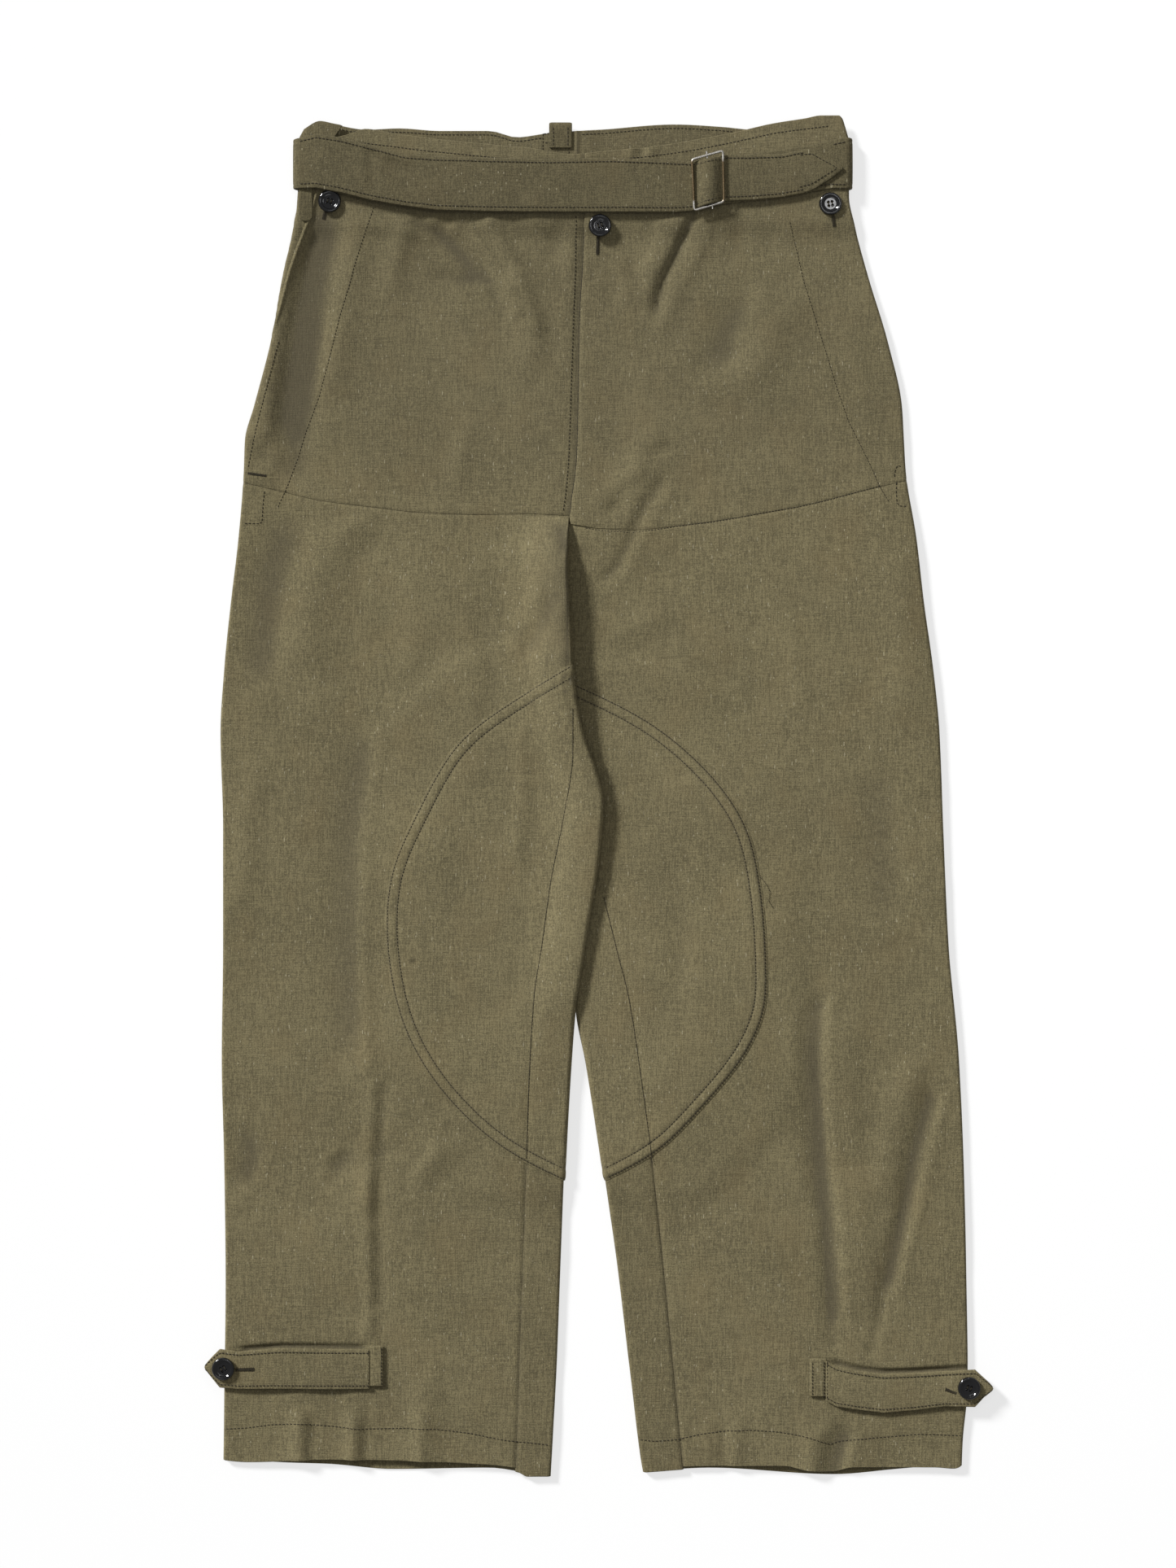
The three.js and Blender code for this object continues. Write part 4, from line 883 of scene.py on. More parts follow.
def material(name):
    """One of the part's finishes, made when first asked for."""
    cloth = bpy.context.scene.trousers_cloth
    if name not in MATERIALS:
        MATERIALS[name] = TRIMS[name](cloth) if name in TRIMS else canvas_material(cloth, *CANVASES[name])
    return MATERIALS[name]


def settle(piece, slot, *nodes):
    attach(piece, "root")
    if nodes:
        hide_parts(*nodes)
    return piece


def lay_sheet(face):
    width, length, area = cut_size(face)
    flat = (width * MM, length * MM)
    min(area * MM * MM, flat[0] * flat[1])


def cut_piece(name, face, thickness, turn, finish, node, lift=0.0, painted_shade=0.0):
    """One piece of cloth: its wall, the solid that it replaces and its flat size."""
    piece = cloth_wall(name, face, thickness, turn, material(finish), lift, painted_shade)
    settle(piece, "canvas", node)
    lay_sheet(face)


# Panels: where the grids turn finer, and how deep the edges roll
OUTER_BEND = 4.5
INNER_BEND = 6
FLY_UNDERLAP = 3.0
BACK_SINK = 0.6
CROSS_SINK = (0.3, 1.1)
FLY_ROLL = (0.5, 1.3)
UNDERLAP_SINK = 0.6
FINE_TAB_ROWS = (-450.0, -421.0, 1.3)
# The rim of the side opening: rise, half width, distance from its edge, and heights where it starts
RIM_RISE = 1.1
RIM_WIDTH = 1.3
RIM_OUT = 1.4
RIM_START = (352, 372)
# Painted shade on the right leg's slope by the crotch: strength, width, heights where it starts and ends
CROTCH_SHADE = 0.5
CROTCH_SHADE_WIDTH = 20
CROTCH_SHADE_START = (70, 125)
CROTCH_SHADE_END = (208, 217)


def back_columns(half):
    """q of each back column: the strip on top at the opening, under the cloth, and round to the inseam."""

    def column(y):
        leg = y < CROTCH_Y
        wide = tube_width(half, y)
        middle = centre_distance(half, y, CURVES["fly"](np.minimum(y, FLY_FOOT)))
        base = np.where(leg, wide, middle)
        end = base + np.where(leg, inner_strip(half, y), 0) - SEAM_GAP / 2
        start = -opening_width(half, y) + SEAM_GAP / 2
        turn = base - INNER_BEND
        parts = [
            start[:, None] + (OUTER_BEND - start)[:, None] * np.linspace(0, 1, 19)[None, :-1],
            OUTER_BEND + (turn - OUTER_BEND)[:, None] * np.linspace(0, 1, 33)[None, :-1],
            turn[:, None] + (end - turn)[:, None] * np.linspace(0, 1, 44)[None, :],
        ]
        return -np.concatenate(parts, axis=1)

    return column


def front_columns(half, upper):
    """q of each front column, from the outer edge to the inseam or the fly."""

    def column(y):
        leg = y < CROTCH_Y
        if upper:
            end = centre_distance(half, y, CURVES["fly"](y))
            if half == "right":
                end = end + FLY_UNDERLAP
            end = end - SEAM_GAP / 2
        else:
            crest = centre_distance(half, y, CROTCH_X)
            end = np.where(leg, tube_width(half, y) - inner_strip(half, y), crest) - SEAM_GAP / 2
        start = opening_width(half, y) + SEAM_GAP / 2
        bend = EDGE_ROUND * (1 - np.cos(np.linspace(0, 1, 8) * math.pi / 2))
        rim = RIM_STEPS[-1]
        head = np.concatenate([bend, [3.3, rim]])
        body = np.linspace(0, 1, 66)[None, 1:]
        parts = [
            start[:, None] + head[None, :],
            (start + rim)[:, None] + (end - start - 2 * rim)[:, None] * body,
            end[:, None] - RIM_STEPS[None, -2::-1],
        ]
        return np.concatenate(parts, axis=1)

    return column


def build_back(half):
    heights = spaced(BACK_LENGTH, 6.5) + GRID_FOOT
    face = shaped_rows(half, heights, back_columns(half), CURVES["hem_back"], CURVES["waist_back"])
    lift = sink(face, ["last"], BACK_SINK)
    painted_shade = shade_to_paint(face, lift)
    cut_piece(f"cloth_back_{half}", face, CLOTH_MM, -SIGN[half], "back", f"back_{half}", lift, painted_shade)


def fly_slope(gap):
    """Share of the fly's lift at a distance from its edge."""
    return 1 - ease(4, 34, gap)


def build_upper_front(half):
    """The left half stands over the fly, the right goes under it and has a rim at the side opening."""
    heights = spaced(UPPER_LENGTH, 3.4) + UPPER_FOOT

    def low(x):
        return CURVES["cross_" + half](x) + SEAM_GAP

    face = shaped_rows(half, heights, front_columns(half, True), low, CURVES["waist_front"])
    lift = sink(face, ["bottom"], *CROSS_SINK)
    gap = edge_gap(face, "last")
    if half == "left":
        depth, width = FLY_ROLL
        lift = lift + FLY_LIFT * fly_slope(gap) - depth * bell(gap, width)
    else:
        rim = bell(edge_gap(face, "first") - RIM_OUT, RIM_WIDTH) * ease(*RIM_START, face[..., 1])
        lift = lift - UNDERLAP_SINK * (1 - ease(3, 9, gap)) + RIM_RISE * rim
    painted_shade = shade_to_paint(face, lift)
    name, node = f"cloth_front_{half}", f"front_{half}"
    cut_piece(name, face, CLOTH_MM, SIGN[half], "canvas", node, lift, painted_shade)


def build_leg_front(half):
    """From the cross seam to the hem; the right one has painted shade on its slope beside the crotch."""
    heights = np.union1d(spaced(LEG_LENGTH, 3.6) + GRID_FOOT, np.arange(*FINE_TAB_ROWS))

    def high(x):
        return CURVES["cross_" + half](x) - SEAM_GAP

    face = shaped_rows(half, heights, front_columns(half, False), CURVES["hem_front"], high)
    lift = sink(face, ["top"], *CROSS_SINK) + sink(face, ["last"])
    painted_shade = shade_to_paint(face, lift)
    if half == "right":
        y = face[..., 1]
        # Painted shade on the lit slope beside the crotch
        crotch_shade = CROTCH_SHADE * bell(inner_edge(half, y) - face[..., 0], CROTCH_SHADE_WIDTH)
        crotch_shade = crotch_shade * ease(*CROTCH_SHADE_START, y) * (1 - ease(*CROTCH_SHADE_END, y))
        painted_shade = np.clip(painted_shade + crotch_shade, 0, 1)
    name, node = f"cloth_leg_front_{half}", f"leg_front_{half}"
    cut_piece(name, face, CLOTH_MM, SIGN[half], "canvas", node, lift, painted_shade)


def patch_boundary(half):
    y = np.linspace(PATCH[half]["y"].max(), PATCH[half]["y"].min(), 72)
    return list(zip(CURVES["patch_" + half](y), y))


ROWS_APART = 7.5
PATCH_EDGE = 1.7
PATCH_FURROW = 0.32
PATCH_SWELL = 0.14
PATCH_RIM_STEPS = np.array([0, 0.5, 1.2, 2.1, 3.2, 4.5, 6, 8, 10])


def patch_lift(half, x, y):
    """Height of a patch over its leg: turned edge, quilted band between the stitch rows, then flat."""
    d = path_distance(patch_boundary(half), x, y)
    rise = 0.35 + 0.75 * ease(0, 2.2, d)
    on_seam = y < INSEAM_ON_PATCH[half][0]
    dips = 1.2 * bell(x - CURVES["inseam_" + half](y), 2.2) * ease(8, 16, d) * on_seam
    dips = dips + bell(d - PATCH_EDGE, 0.9) + bell(d - PATCH_EDGE - ROWS_APART, 1.1)
    swell = ease(PATCH_EDGE, PATCH_EDGE + 2.4, d) * (1 - ease(ROWS_APART - 1, ROWS_APART + 1.6, d))
    return rise - PATCH_FURROW * dips + PATCH_SWELL * swell


def patch_painted_shade(face):
    """Painted shade in the two stitched furrows of a patch."""
    painted_shade = shade_to_paint(face)
    for half in HALVES:
        d = path_distance(patch_boundary(half), face[..., 0], face[..., 1])
        near = np.minimum(np.abs(d - PATCH_EDGE), np.abs(d - PATCH_EDGE - ROWS_APART))
        painted_shade = np.maximum(painted_shade, 0.7 * bell(near, 0.9))
    return painted_shade


def patch_columns(half):
    near = np.array([0, 0.5, 1.1, 1.8, 2.6, 3.6, 4.8, 6.0, 7.2, 8.2, 9.2, 10.2, 11.4, 13.0])

    def column(y):
        wide = tube_width(half, y)
        span = np.maximum(patch_width(half, y), 1.0)
        share = np.minimum(1, span / 30)[:, None]
        head = share * near[None, :]
        turn = np.minimum(4.0, span * 0.3)
        inner = (span - turn)[:, None]
        body = head[:, -1:] + (inner - head[:, -1:]) * np.linspace(0, 1, 40)[None, 1:]
        bend = inner + turn[:, None] * np.sin(np.linspace(0, 1, 8) * math.pi / 2)[None, 1:]
        reach = np.concatenate([head, body, bend], axis=1)
        over = wide[:, None] + span[:, None] - reach
        under = wide[:, None] - span[:, None] + reach
        return -np.concatenate([under, over[:, -2::-1]], axis=1)

    return column


def build_patch(half):
    low, high = PATCH[half]["y"].min(), PATCH[half]["y"].max()
    heights = spaced(high - low, 3.4, PATCH_RIM_STEPS, PATCH_RIM_STEPS) + low
    q = patch_columns(half)(heights)
    face = place(half, q, np.repeat(heights[:, None], q.shape[1], axis=1))
    lift = patch_lift(half, face[..., 0], face[..., 1])
    name, node = f"cloth_patch_{half}", f"patch_{half}"
    cut_piece(name, face, PATCH_CLOTH, -SIGN[half], "patch", node, lift, patch_painted_shade(face))


# Belt
STRAP_ROW = 2.6


def half_turn(start, end, reach, steps=12):
    """Strap stations round a side, half an ellipse from one run to the next."""
    stations = []
    for i in range(1, steps):
        share = i / steps
        turn = share * math.pi
        z = (start[3] + end[3]) / 2 + (start[3] - end[3]) / 2 * math.cos(turn)
        top = start[1] + (end[1] - start[1]) * share
        bottom = start[2] + (end[2] - start[2]) * share
        stations.append((start[0] + reach * math.sin(turn), top, bottom, z))
    return stations


def refine(rows, step=3.0):
    """More stations between the rows, on straight runs."""
    fine = [rows[0]]
    for a, b in zip(rows, rows[1:]):
        count = max(int(math.hypot(b[0] - a[0], b[3] - a[3]) / step), 1)
        for i in range(1, count + 1):
            t = i / count
            fine.append(tuple(p + (q - p) * t for p, q in zip(a, b)))
    return np.array(fine)


ACROSS = np.array([0, 0.03, 0.07, 0.105, 0.15, 0.25, 0.375, 0.5, 0.625, 0.75, 0.85, 0.895, 0.93, 0.97, 1])


def strap_face(rows, thickness):
    """Outer face of a strap whose lower face runs through the rows; soft sag and edge roll included."""
    tx = np.gradient(rows[:, 0])
    tz = np.gradient(rows[:, 3])
    length = np.maximum(np.hypot(tx, tz), 1e-6)
    nx, nz = -tz / length, tx / length
    path = np.concatenate([[0], np.cumsum(np.hypot(np.diff(rows[:, 0]), np.diff(rows[:, 3])))])
    # Slow sag of the strap in two waves
    wave = 0.28 * np.sin(path / 17.0 + 1.0) + 0.2 * np.sin(path / 7.3 + 0.4)
    shares = ACROSS[None, :]
    y = rows[:, 1:2] + (rows[:, 2:3] - rows[:, 1:2]) * shares
    width = np.abs(rows[:, 1:2] - rows[:, 2:3])
    edge = np.minimum(shares, 1 - shares) * width
    crown = -0.35 * bell(edge, 0.8) - 0.22 * bell(edge - STRAP_ROW, 0.9)
    crown = crown + wave[:, None] * np.sin(shares * math.pi) * 0.6
    out = thickness + crown
    return np.stack([rows[:, 0:1] + nx[:, None] * out, y, rows[:, 3:4] + nz[:, None] * out], axis=-1)


# Puckers pressed into the strap's front run: height, half width, then the path
BELT_CREASES = [
    (0.9, 3, [(-177, 502), (-160, 493), (-148, 490)]),
    (-0.9, 3, [(-178, 498), (-163, 489), (-150, 486)]),
    (0.7, 2.5, [(-162, 500), (-169, 488)]),
    (-0.8, 5, [(-130, 494), (-120, 481)]),
    (-0.7, 6, [(-92, 491), (-60, 465)]),
    (0.6, 6, [(-102, 488), (-72, 464)]),
    (0.6, 4, [(-182, 497), (-181, 474)]),
    (-0.6, 4, [(-176, 493), (-175, 470)]),
    (-0.6, 6, [(110, 492), (128, 476), (134, 466)]),
    (0.5, 6, [(20, 488), (30, 470), (28, 457)]),
]


def build_belt():
    rows = BELT_START + half_turn(BELT_START[-1], BELT_BACK[0], BELT_BEND) + BELT_BACK
    rows = rows + half_turn(BELT_BACK[-1], BELT_FRONT[0], -BELT_BEND) + BELT_FRONT
    face = strap_face(refine(rows), STRAP_CLOTH)
    outside = ease(9, 11, face[..., 2])
    face[..., 2] += creases(BELT_CREASES, face[..., 0], face[..., 1]) * outside
    cut_piece("cloth_belt", face, STRAP_CLOTH, 1, "belt", "belt")


def belt_top(x, y):
    rows = np.array(BELT_FRONT)
    puckers = creases(BELT_CREASES, np.asarray(x), np.asarray(y))
    return np.interp(x, rows[:, 0], rows[:, 3]) + STRAP_CLOTH + puckers


# Wire buckle
WIRE_RADIUS = 0.95
BUCKLE = [(71.9, 491.2, 13.5), (95.7, 497.9, 14.0), (96.5, 458.6, 14.0), (73.6, 452.0, 13.5)]
BUCKLE_BAR = [(83.1, 497.6, 13.3), (87.8, 453.2, 13.3)]


def tube(path, radius, sides=12, closed=False):
    """Points and faces of a round wire along a path."""
    path = np.array(path, float)
    if closed:
        along = np.roll(path, -1, axis=0) - np.roll(path, 1, axis=0)
    else:
        along = np.gradient(path, axis=0)
    along = along / np.linalg.norm(along, axis=1, keepdims=True)
    side = np.cross(along, [0, 0, 1.0])
    side = side / np.maximum(np.linalg.norm(side, axis=1, keepdims=True), 1e-6)
    rise = np.cross(side, along)
    turn = np.arange(sides) / sides * 2 * math.pi
    ring = side[:, None] * np.cos(turn)[None, :, None] + rise[:, None] * np.sin(turn)[None, :, None]
    points = (path[:, None] + ring * radius).reshape(-1, 3)
    count = len(path)
    faces = []
    for i in range(count if closed else count - 1):
        j = (i + 1) % count
        for k in range(sides):
            m = (k + 1) % sides
            faces.append([i * sides + k, i * sides + m, j * sides + m, j * sides + k])
    if not closed:
        faces.append(list(range(sides)))
        faces.append(list(range((count - 1) * sides, count * sides))[::-1])
    return points, faces


def rounded_path(corners, bend, steps=6):
    path = []
    corners = np.array(corners, float)
    for i, corner in enumerate(corners):
        before = corners[i - 1] - corner
        after = corners[(i + 1) % len(corners)] - corner
        before = before / np.linalg.norm(before) * bend
        after = after / np.linalg.norm(after) * bend
        for t in np.linspace(0, 1, steps):
            path.append(corner + before * (1 - t) ** 2 + after * t**2)
    return path


def joined(parts):
    points, faces, start = [], [], 0
    for p, f in parts:
        points.append(p)
        faces += [[i + start for i in face] for face in f]
        start += len(p)
    return np.concatenate(points), faces


def build_buckle():
    ring = tube(rounded_path(BUCKLE, 2.2), WIRE_RADIUS, closed=True)
    bar = tube(np.linspace(BUCKLE_BAR[0], BUCKLE_BAR[1], 9), WIRE_RADIUS * 0.8)
    points, faces = joined([ring, bar])
    settle(new_object("wire_buckle", points, faces, material("wire"), 60), "wire", "buckle")


# Belt loops; the centre one as its path up the back, over the belt and down: height on the back, then z
SIDE_LOOP = {"low": 445.0, "high": 500.0, "inner": -221.5, "outer": -231.3}
CENTRE_LOOP = [
    (452, 3.5), (455, 3.45), (458, 3.2), (461, 2.0), (463.5, 1.2), (485, 1.2), (506.5, 1.2), (512, 1.3),
    (516, 1.8), (519, 2.6), (520.2, 3.4), (520.6, 4.2), (520.2, 5.0), (519, 5.5), (513, 5.6), (502, 5.6),
]


def build_side_loop():
    heights = np.linspace(SIDE_LOOP["low"], SIDE_LOOP["high"], 26)
    x = np.linspace(SIDE_LOOP["outer"], SIDE_LOOP["inner"], 12)
    grid_y, grid_x = np.meshgrid(heights, x, indexing="ij")
    low = SIDE_LOOP["low"]
    rounding = 3.5 * (np.abs(np.linspace(-1, 1, 12))[None, :] ** 3) * (1 - ease(low, low + 7, grid_y))
    grid_y = grid_y + rounding
    z = top_of("right", grid_x, grid_y) + SEAM_GAP + LOOP_CLOTH
    face = np.stack([grid_x, grid_y, z], axis=-1)
    cut_piece("cloth_loop_side", face, LOOP_CLOTH, 1, "belt", "loop_side_right")


def build_centre_loop():
    path = np.array(CENTRE_LOOP)
    ty, tz = np.gradient(path[:, 0]), np.gradient(path[:, 1])
    length = np.hypot(ty, tz)
    ny, nz = tz / length, -ty / length
    x = np.linspace(LOOP_X - LOOP_WIDTH / 2, LOOP_X + LOOP_WIDTH / 2, 11)
    roll = LOOP_CLOTH - 0.3 * bell(np.minimum(x - x[0], x[-1] - x), 0.9)
    y = path[:, 0:1] + ny[:, None] * roll[None, :]
    z = path[:, 1:2] + nz[:, None] * roll[None, :]
    face = np.stack([np.broadcast_to(x[None, :], y.shape), y, z], axis=-1)
    cut_piece("cloth_loop_centre", face, LOOP_CLOTH, -1, "belt", "loop_centre_back")


# Ankle tabs
TAB = {
    "right": {
        "keeper": {"x0": -167, "x1": -177, "top": -425.5, "bottom": -455.5},
        "rows": [
            (-177.6, -428, -458), (-212, -427.6, -458), (-246, -427, -457.6), (-278, -429.5, -457.8),
            (-293, -427.6, -456.6), (-298, -432.5, -450.5), (-HALF_WIDTH, -439.5, -442.5),
        ],
        "button": (-290, -442),
    },
    "left": {
        "keeper": {"x0": 163.5, "x1": 175.5, "top": -435.5, "bottom": -463.5},
        "rows": [
            (176.1, -436.5, -467.5), (184, -441, -471.5), (198, -444, -473.5), (220, -447, -476.2),
            (245, -446.2, -474), (267, -444.8, -471.2), (291, -443.5, -471.6), (298, -450, -464),
            (HALF_WIDTH, -456, -459),
        ],
        "button": (286, -457),
    },
}


TAB_GAP = 0.8
TAB_RISE = 1.2
KEEPER_TOP = 2.7


def tab_seat(half, x, top, bottom):
    """Lower face of an ankle tab: over the highest cloth across its width."""
    left, right = limits(half, np.array(top))
    x = np.clip(x, left + 4, right - 4)
    return max(float(upperside(half, x, y, fine=False)) for y in np.linspace(bottom, top, 5)) + TAB_GAP


def tab_rows(half):
    rows = TAB[half]["rows"]
    start = rows[0][0]
    lifted = []
    for x, top, bottom in rows:
        z = tab_seat(half, x, top, bottom) + TAB_RISE * float(ease(0, 30, abs(x - start)))
        lifted.append((x, top, bottom, z))
    return lifted


def tab_top(half):
    rows = sorted(tab_rows(half))
    xs = [r[0] for r in rows]
    zs = [r[3] + STRAP_CLOTH for r in rows]
    return lambda x, y: np.interp(x, xs, zs)


def build_tab(half):
    face = strap_face(refine(sorted(tab_rows(half)), 2.0), STRAP_CLOTH)
    cut_piece(f"cloth_ankle_tab_{half}", face, STRAP_CLOTH, 1, "canvas", f"ankle_tab_{half}")
    keeper = TAB[half]["keeper"]
    x = np.linspace(keeper["x0"], keeper["x1"], 9)
    y = np.linspace(keeper["bottom"], keeper["top"], 15)
    grid_y, grid_x = np.meshgrid(y, x, indexing="ij")
    edge = np.minimum(np.abs(grid_x - x[0]), np.abs(grid_x - x[-1]))
    z = upperside(half, grid_x, grid_y, fine=False) + KEEPER_TOP - 0.4 * bell(edge, 1.2)
    face = np.stack([grid_x, grid_y, z], axis=-1)
    name, node = f"cloth_tab_keeper_{half}", f"tab_keeper_{half}"
    cut_piece(name, face, STRAP_CLOTH, -SIGN[half], "canvas", node)


# Stitching: rows of thread measured in the photograph's pixels, and where each lies
WAIST_ROW_PX = [
    (382, 166), (400, 171), (440, 176), (475, 180), (520, 186), (560, 190), (610, 195), (660, 199),
    (700, 203), (740, 199), (800, 193), (850, 186), (900, 176), (950, 165), (985, 160), (1018, 156),
]
FLY_ROW_PX = [(708, 266), (707, 330), (705, 380), (703, 440), (701, 500), (699, 560), (696, 600), (692, 628)]
FACING_LEFT_PX = [(460, 255), (448, 289), (437, 323), (429, 353), (417.5, 390), (403.5, 446), (392, 488),
                  (375, 533), (367, 560), (353, 598), (341, 624)]
FACING_RIGHT_PX = [(970, 273), (978.5, 307), (987, 345), (1001.5, 391), (1016, 437), (1027, 474), (1042, 517),
                   (1059, 551), (1073, 580), (1080, 597), (1092, 617)]
BOX_LEFT_PX = [(325, 603), (323, 622), (322, 640), (321, 643.5), (300, 643.5)]
BOX_RIGHT_PX = [(1101, 592), (1101, 606), (1102, 619), (1105, 622.5), (1119, 622.5)]
CURVE_RIGHT_PX = [(1113, 575), (1102, 572), (1099, 580), (1099, 587)]
TACK_LEFT_PX = [(305, 582), (327, 585)]
OPENING_ROW_PX = [(343, 420), (334, 455), (322, 500), (311, 545), (305, 575)]
HEM_RIGHT_PX = [(277, 1756), (299, 1755), (334, 1750.5), (369, 1749), (404, 1752), (445, 1756), (489, 1755),
                (533, 1755.5), (577, 1761), (621, 1770), (642, 1772), (678.5, 1776)]
HEM_LEFT_PX = [
    (786, 1769), (803, 1771), (831, 1769), (862, 1762), (893, 1758), (924, 1757), (958, 1759.5), (993, 1766),
    (1020, 1775), (1031, 1771.5), (1062, 1768), (1096, 1765), (1130, 1762), (1182, 1764),
]
CROSS_LEFT_PX = [
    (719, 649), (740, 652.4), (776, 654.5), (806, 651), (836, 646), (872, 642), (908, 636), (944, 629),
    (980, 623), (1016, 615), (1052, 605), (1082, 597),
]
KEEPER_ROWS_PX = [[(453, 1658), (453, 1705)], [(469, 1655), (469, 1701)], [(998, 1673), (998, 1714)],
                  [(1012, 1672), (1012, 1717)], [(1016, 1672), (1016, 1718)]]
INSIDE_BACK_PX = [
    [(667, 164), (667, 190)], [(699, 158), (699, 194)], [(667, 165), (699, 161)], [(669, 176), (699, 172)],
]
LOOSE_THREAD_PX = [(934, 1078), (941, 1086), (946, 1096), (944, 1107), (950, 1116)]


def from_photo(points):
    return [((x - MIDDLE_PX[0]) * MM_PER_PX, (MIDDLE_PX[1] - y) * MM_PER_PX) for x, y in points]


def moved(path, distance):
    """Path moved sideways, to the left of its direction."""
    path = np.array(path, float)
    along = np.gradient(path, axis=0)
    along = along / np.maximum(np.linalg.norm(along, axis=1, keepdims=True), 1e-6)
    return path + np.stack([-along[:, 1], along[:, 0]], axis=1) * distance


def resampled(path, pitch):
    path = np.array(path, float)
    steps = np.concatenate([[0], np.cumsum(np.linalg.norm(np.diff(path, axis=0), axis=1))])
    count = max(int(steps[-1] / pitch), 1)
    at = np.linspace(0, steps[-1], count + 1)
    return np.stack([np.interp(at, steps, path[:, 0]), np.interp(at, steps, path[:, 1])], axis=1)


class Stitches:
    """Rows of sewing thread joined in one mesh: each stitch a short bowed strand whose ends dip in."""

    SIDES = 5

    def __init__(self):
        self.points = []
        self.faces = []
        self.count = 0
        self.random = np.random.default_rng(11)

    def strand(self, start, end, radius, rise, dip):
        along = end - start
        length = np.linalg.norm(along)
        along = along / max(length, 1e-6)
        side = np.array([-along[1], along[0], 0.0])
        stations = [(0.0, 0.35, -dip), (0.22, 1.0, rise * 0.6), (0.78, 1.0, rise * 0.6), (1.0, 0.35, -dip)]
        turn = np.arange(self.SIDES) / self.SIDES * 2 * math.pi
        rings = []
        for share, thick, lift in stations:
            centre = start + (end - start) * share + np.array([0, 0, lift])
            ring = side[None] * np.cos(turn)[:, None] + np.array([0, 0, 1.0])[None] * np.sin(turn)[:, None]
            rings.append(centre + ring * radius * thick)
        base = self.count
        self.points.append(np.concatenate(rings))
        for i in range(len(stations) - 1):
            for k in range(self.SIDES):
                m = (k + 1) % self.SIDES
                a = base + i * self.SIDES
                self.faces.append([a + k, a + m, a + self.SIDES + m, a + self.SIDES + k])
        last = base + (len(stations) - 1) * self.SIDES
        self.faces.append([base + k for k in range(self.SIDES)])
        self.faces.append([last + k for k in range(self.SIDES)][::-1])
        self.count += len(stations) * self.SIDES

    def row(self, path, height, pitch=2.9, radius=0.36, fill=0.84, rise=0.1, dip=0.28):
        """Stitches along a path of (x, y); height(x, y) is the cloth's upper face."""
        knots = resampled(path, pitch)
        z = height(knots[:, 0], knots[:, 1])
        spots = np.concatenate([knots, np.asarray(z)[:, None]], axis=1)
        for a, b in zip(spots, spots[1:]):
            shake = self.random.normal(0, 0.05, 2)
            gap = (b - a) * (1 - fill) / 2
            start, end = a + gap, b - gap
            start[:2] += shake
            self.strand(start, end, radius, rise, dip)

    def bars(self, start, end, width, height, pitch=0.62, radius=0.24):
        """Close stitches across a line, as round a buttonhole or on a bar tack."""
        line = np.array([start, end], float)
        knots = resampled(line, pitch)
        along = (line[1] - line[0]) / np.linalg.norm(line[1] - line[0])
        side = np.array([-along[1], along[0]]) * width / 2
        for knot in knots:
            wide = 1 + self.random.normal(0, 0.08)
            ends = np.array([knot - side * wide, knot + side * wide])
            z = height(ends[:, 0], ends[:, 1])
            spots = np.concatenate([ends, np.asarray(z)[:, None]], axis=1)
            self.strand(spots[0], spots[1], radius, 0.18, 0.1)

    def build(self, name, finish):
        return new_object(name, np.concatenate(self.points), self.faces, finish, 60)


def on_leg(half):
    return lambda x, y: top_of(half, x, y)


def on_patch(half):
    return lambda x, y: top_of(half, x, y) + patch_lift(half, x, y) + 0.05


def on_keeper(half):
    return lambda x, y: upperside(half, x, y, fine=False) + KEEPER_TOP + 0.05


def proud_front(x, y):
    """Upper face of the left front, which stands over the fly."""
    gap = np.abs(x - CURVES["fly"](y))
    return top_of("left", x, y) + (FLY_LIFT + THREAD_PROUD) * fly_slope(gap)


def inside_back(x, y):
    """Inner face of the back, which shows above the front's waist edge."""
    return underside("right", x, y) + CLOTH_MM + 0.1


def visible_part(half, path):
    """The part of a patch's stitch row that shows on the front of its leg."""
    points = resampled(path, 2.0)
    inward = (inner_edge(half, points[:, 1]) - points[:, 0]) * SIGN[half]
    return points[inward > CLOTH_MM]


def raised(height, by):
    return lambda x, y: height(x, y) + by


def level(z):
    return lambda x, y: np.full(np.shape(x), z)


FINE_ROW = {"pitch": 2.6, "radius": 0.3}
TACK_WIDTH = 2.2
FLY_SIDES = (-14, -6)
BELT_WIDTH = 40.0
BELT_ROWS = (STRAP_ROW, 37.0)
BELT_ROW_END = 165
BELT_START_ROWS = [[(168, 471.2), (180, 473), (190.6, 472.6)], [(181, 503.6), (190.6, 505.6)]]
BELT_START_TOP = 9.85
BELT_TIP = [(155, 497.3), (165, 498), (177.5, 491.0), (186.5, 485), (177, 478), (165, 470.6), (155, 468)]
TIP_INSET = 2.2
TAB_ROWS = (0.08, 0.92)
LOOP_ROW_OUT = 5.6
LOOP_ROW_HEIGHTS = (503, 518)
LOOP_ROW_TOP = 6.9
BACK_ROW_ENDS = (-205, 150)
BACK_ROW_INSET = 2.6
BEHIND_LOOP = (-42, -16)
FLY_EDGE_ENDS = (440, CROTCH_Y + 3)


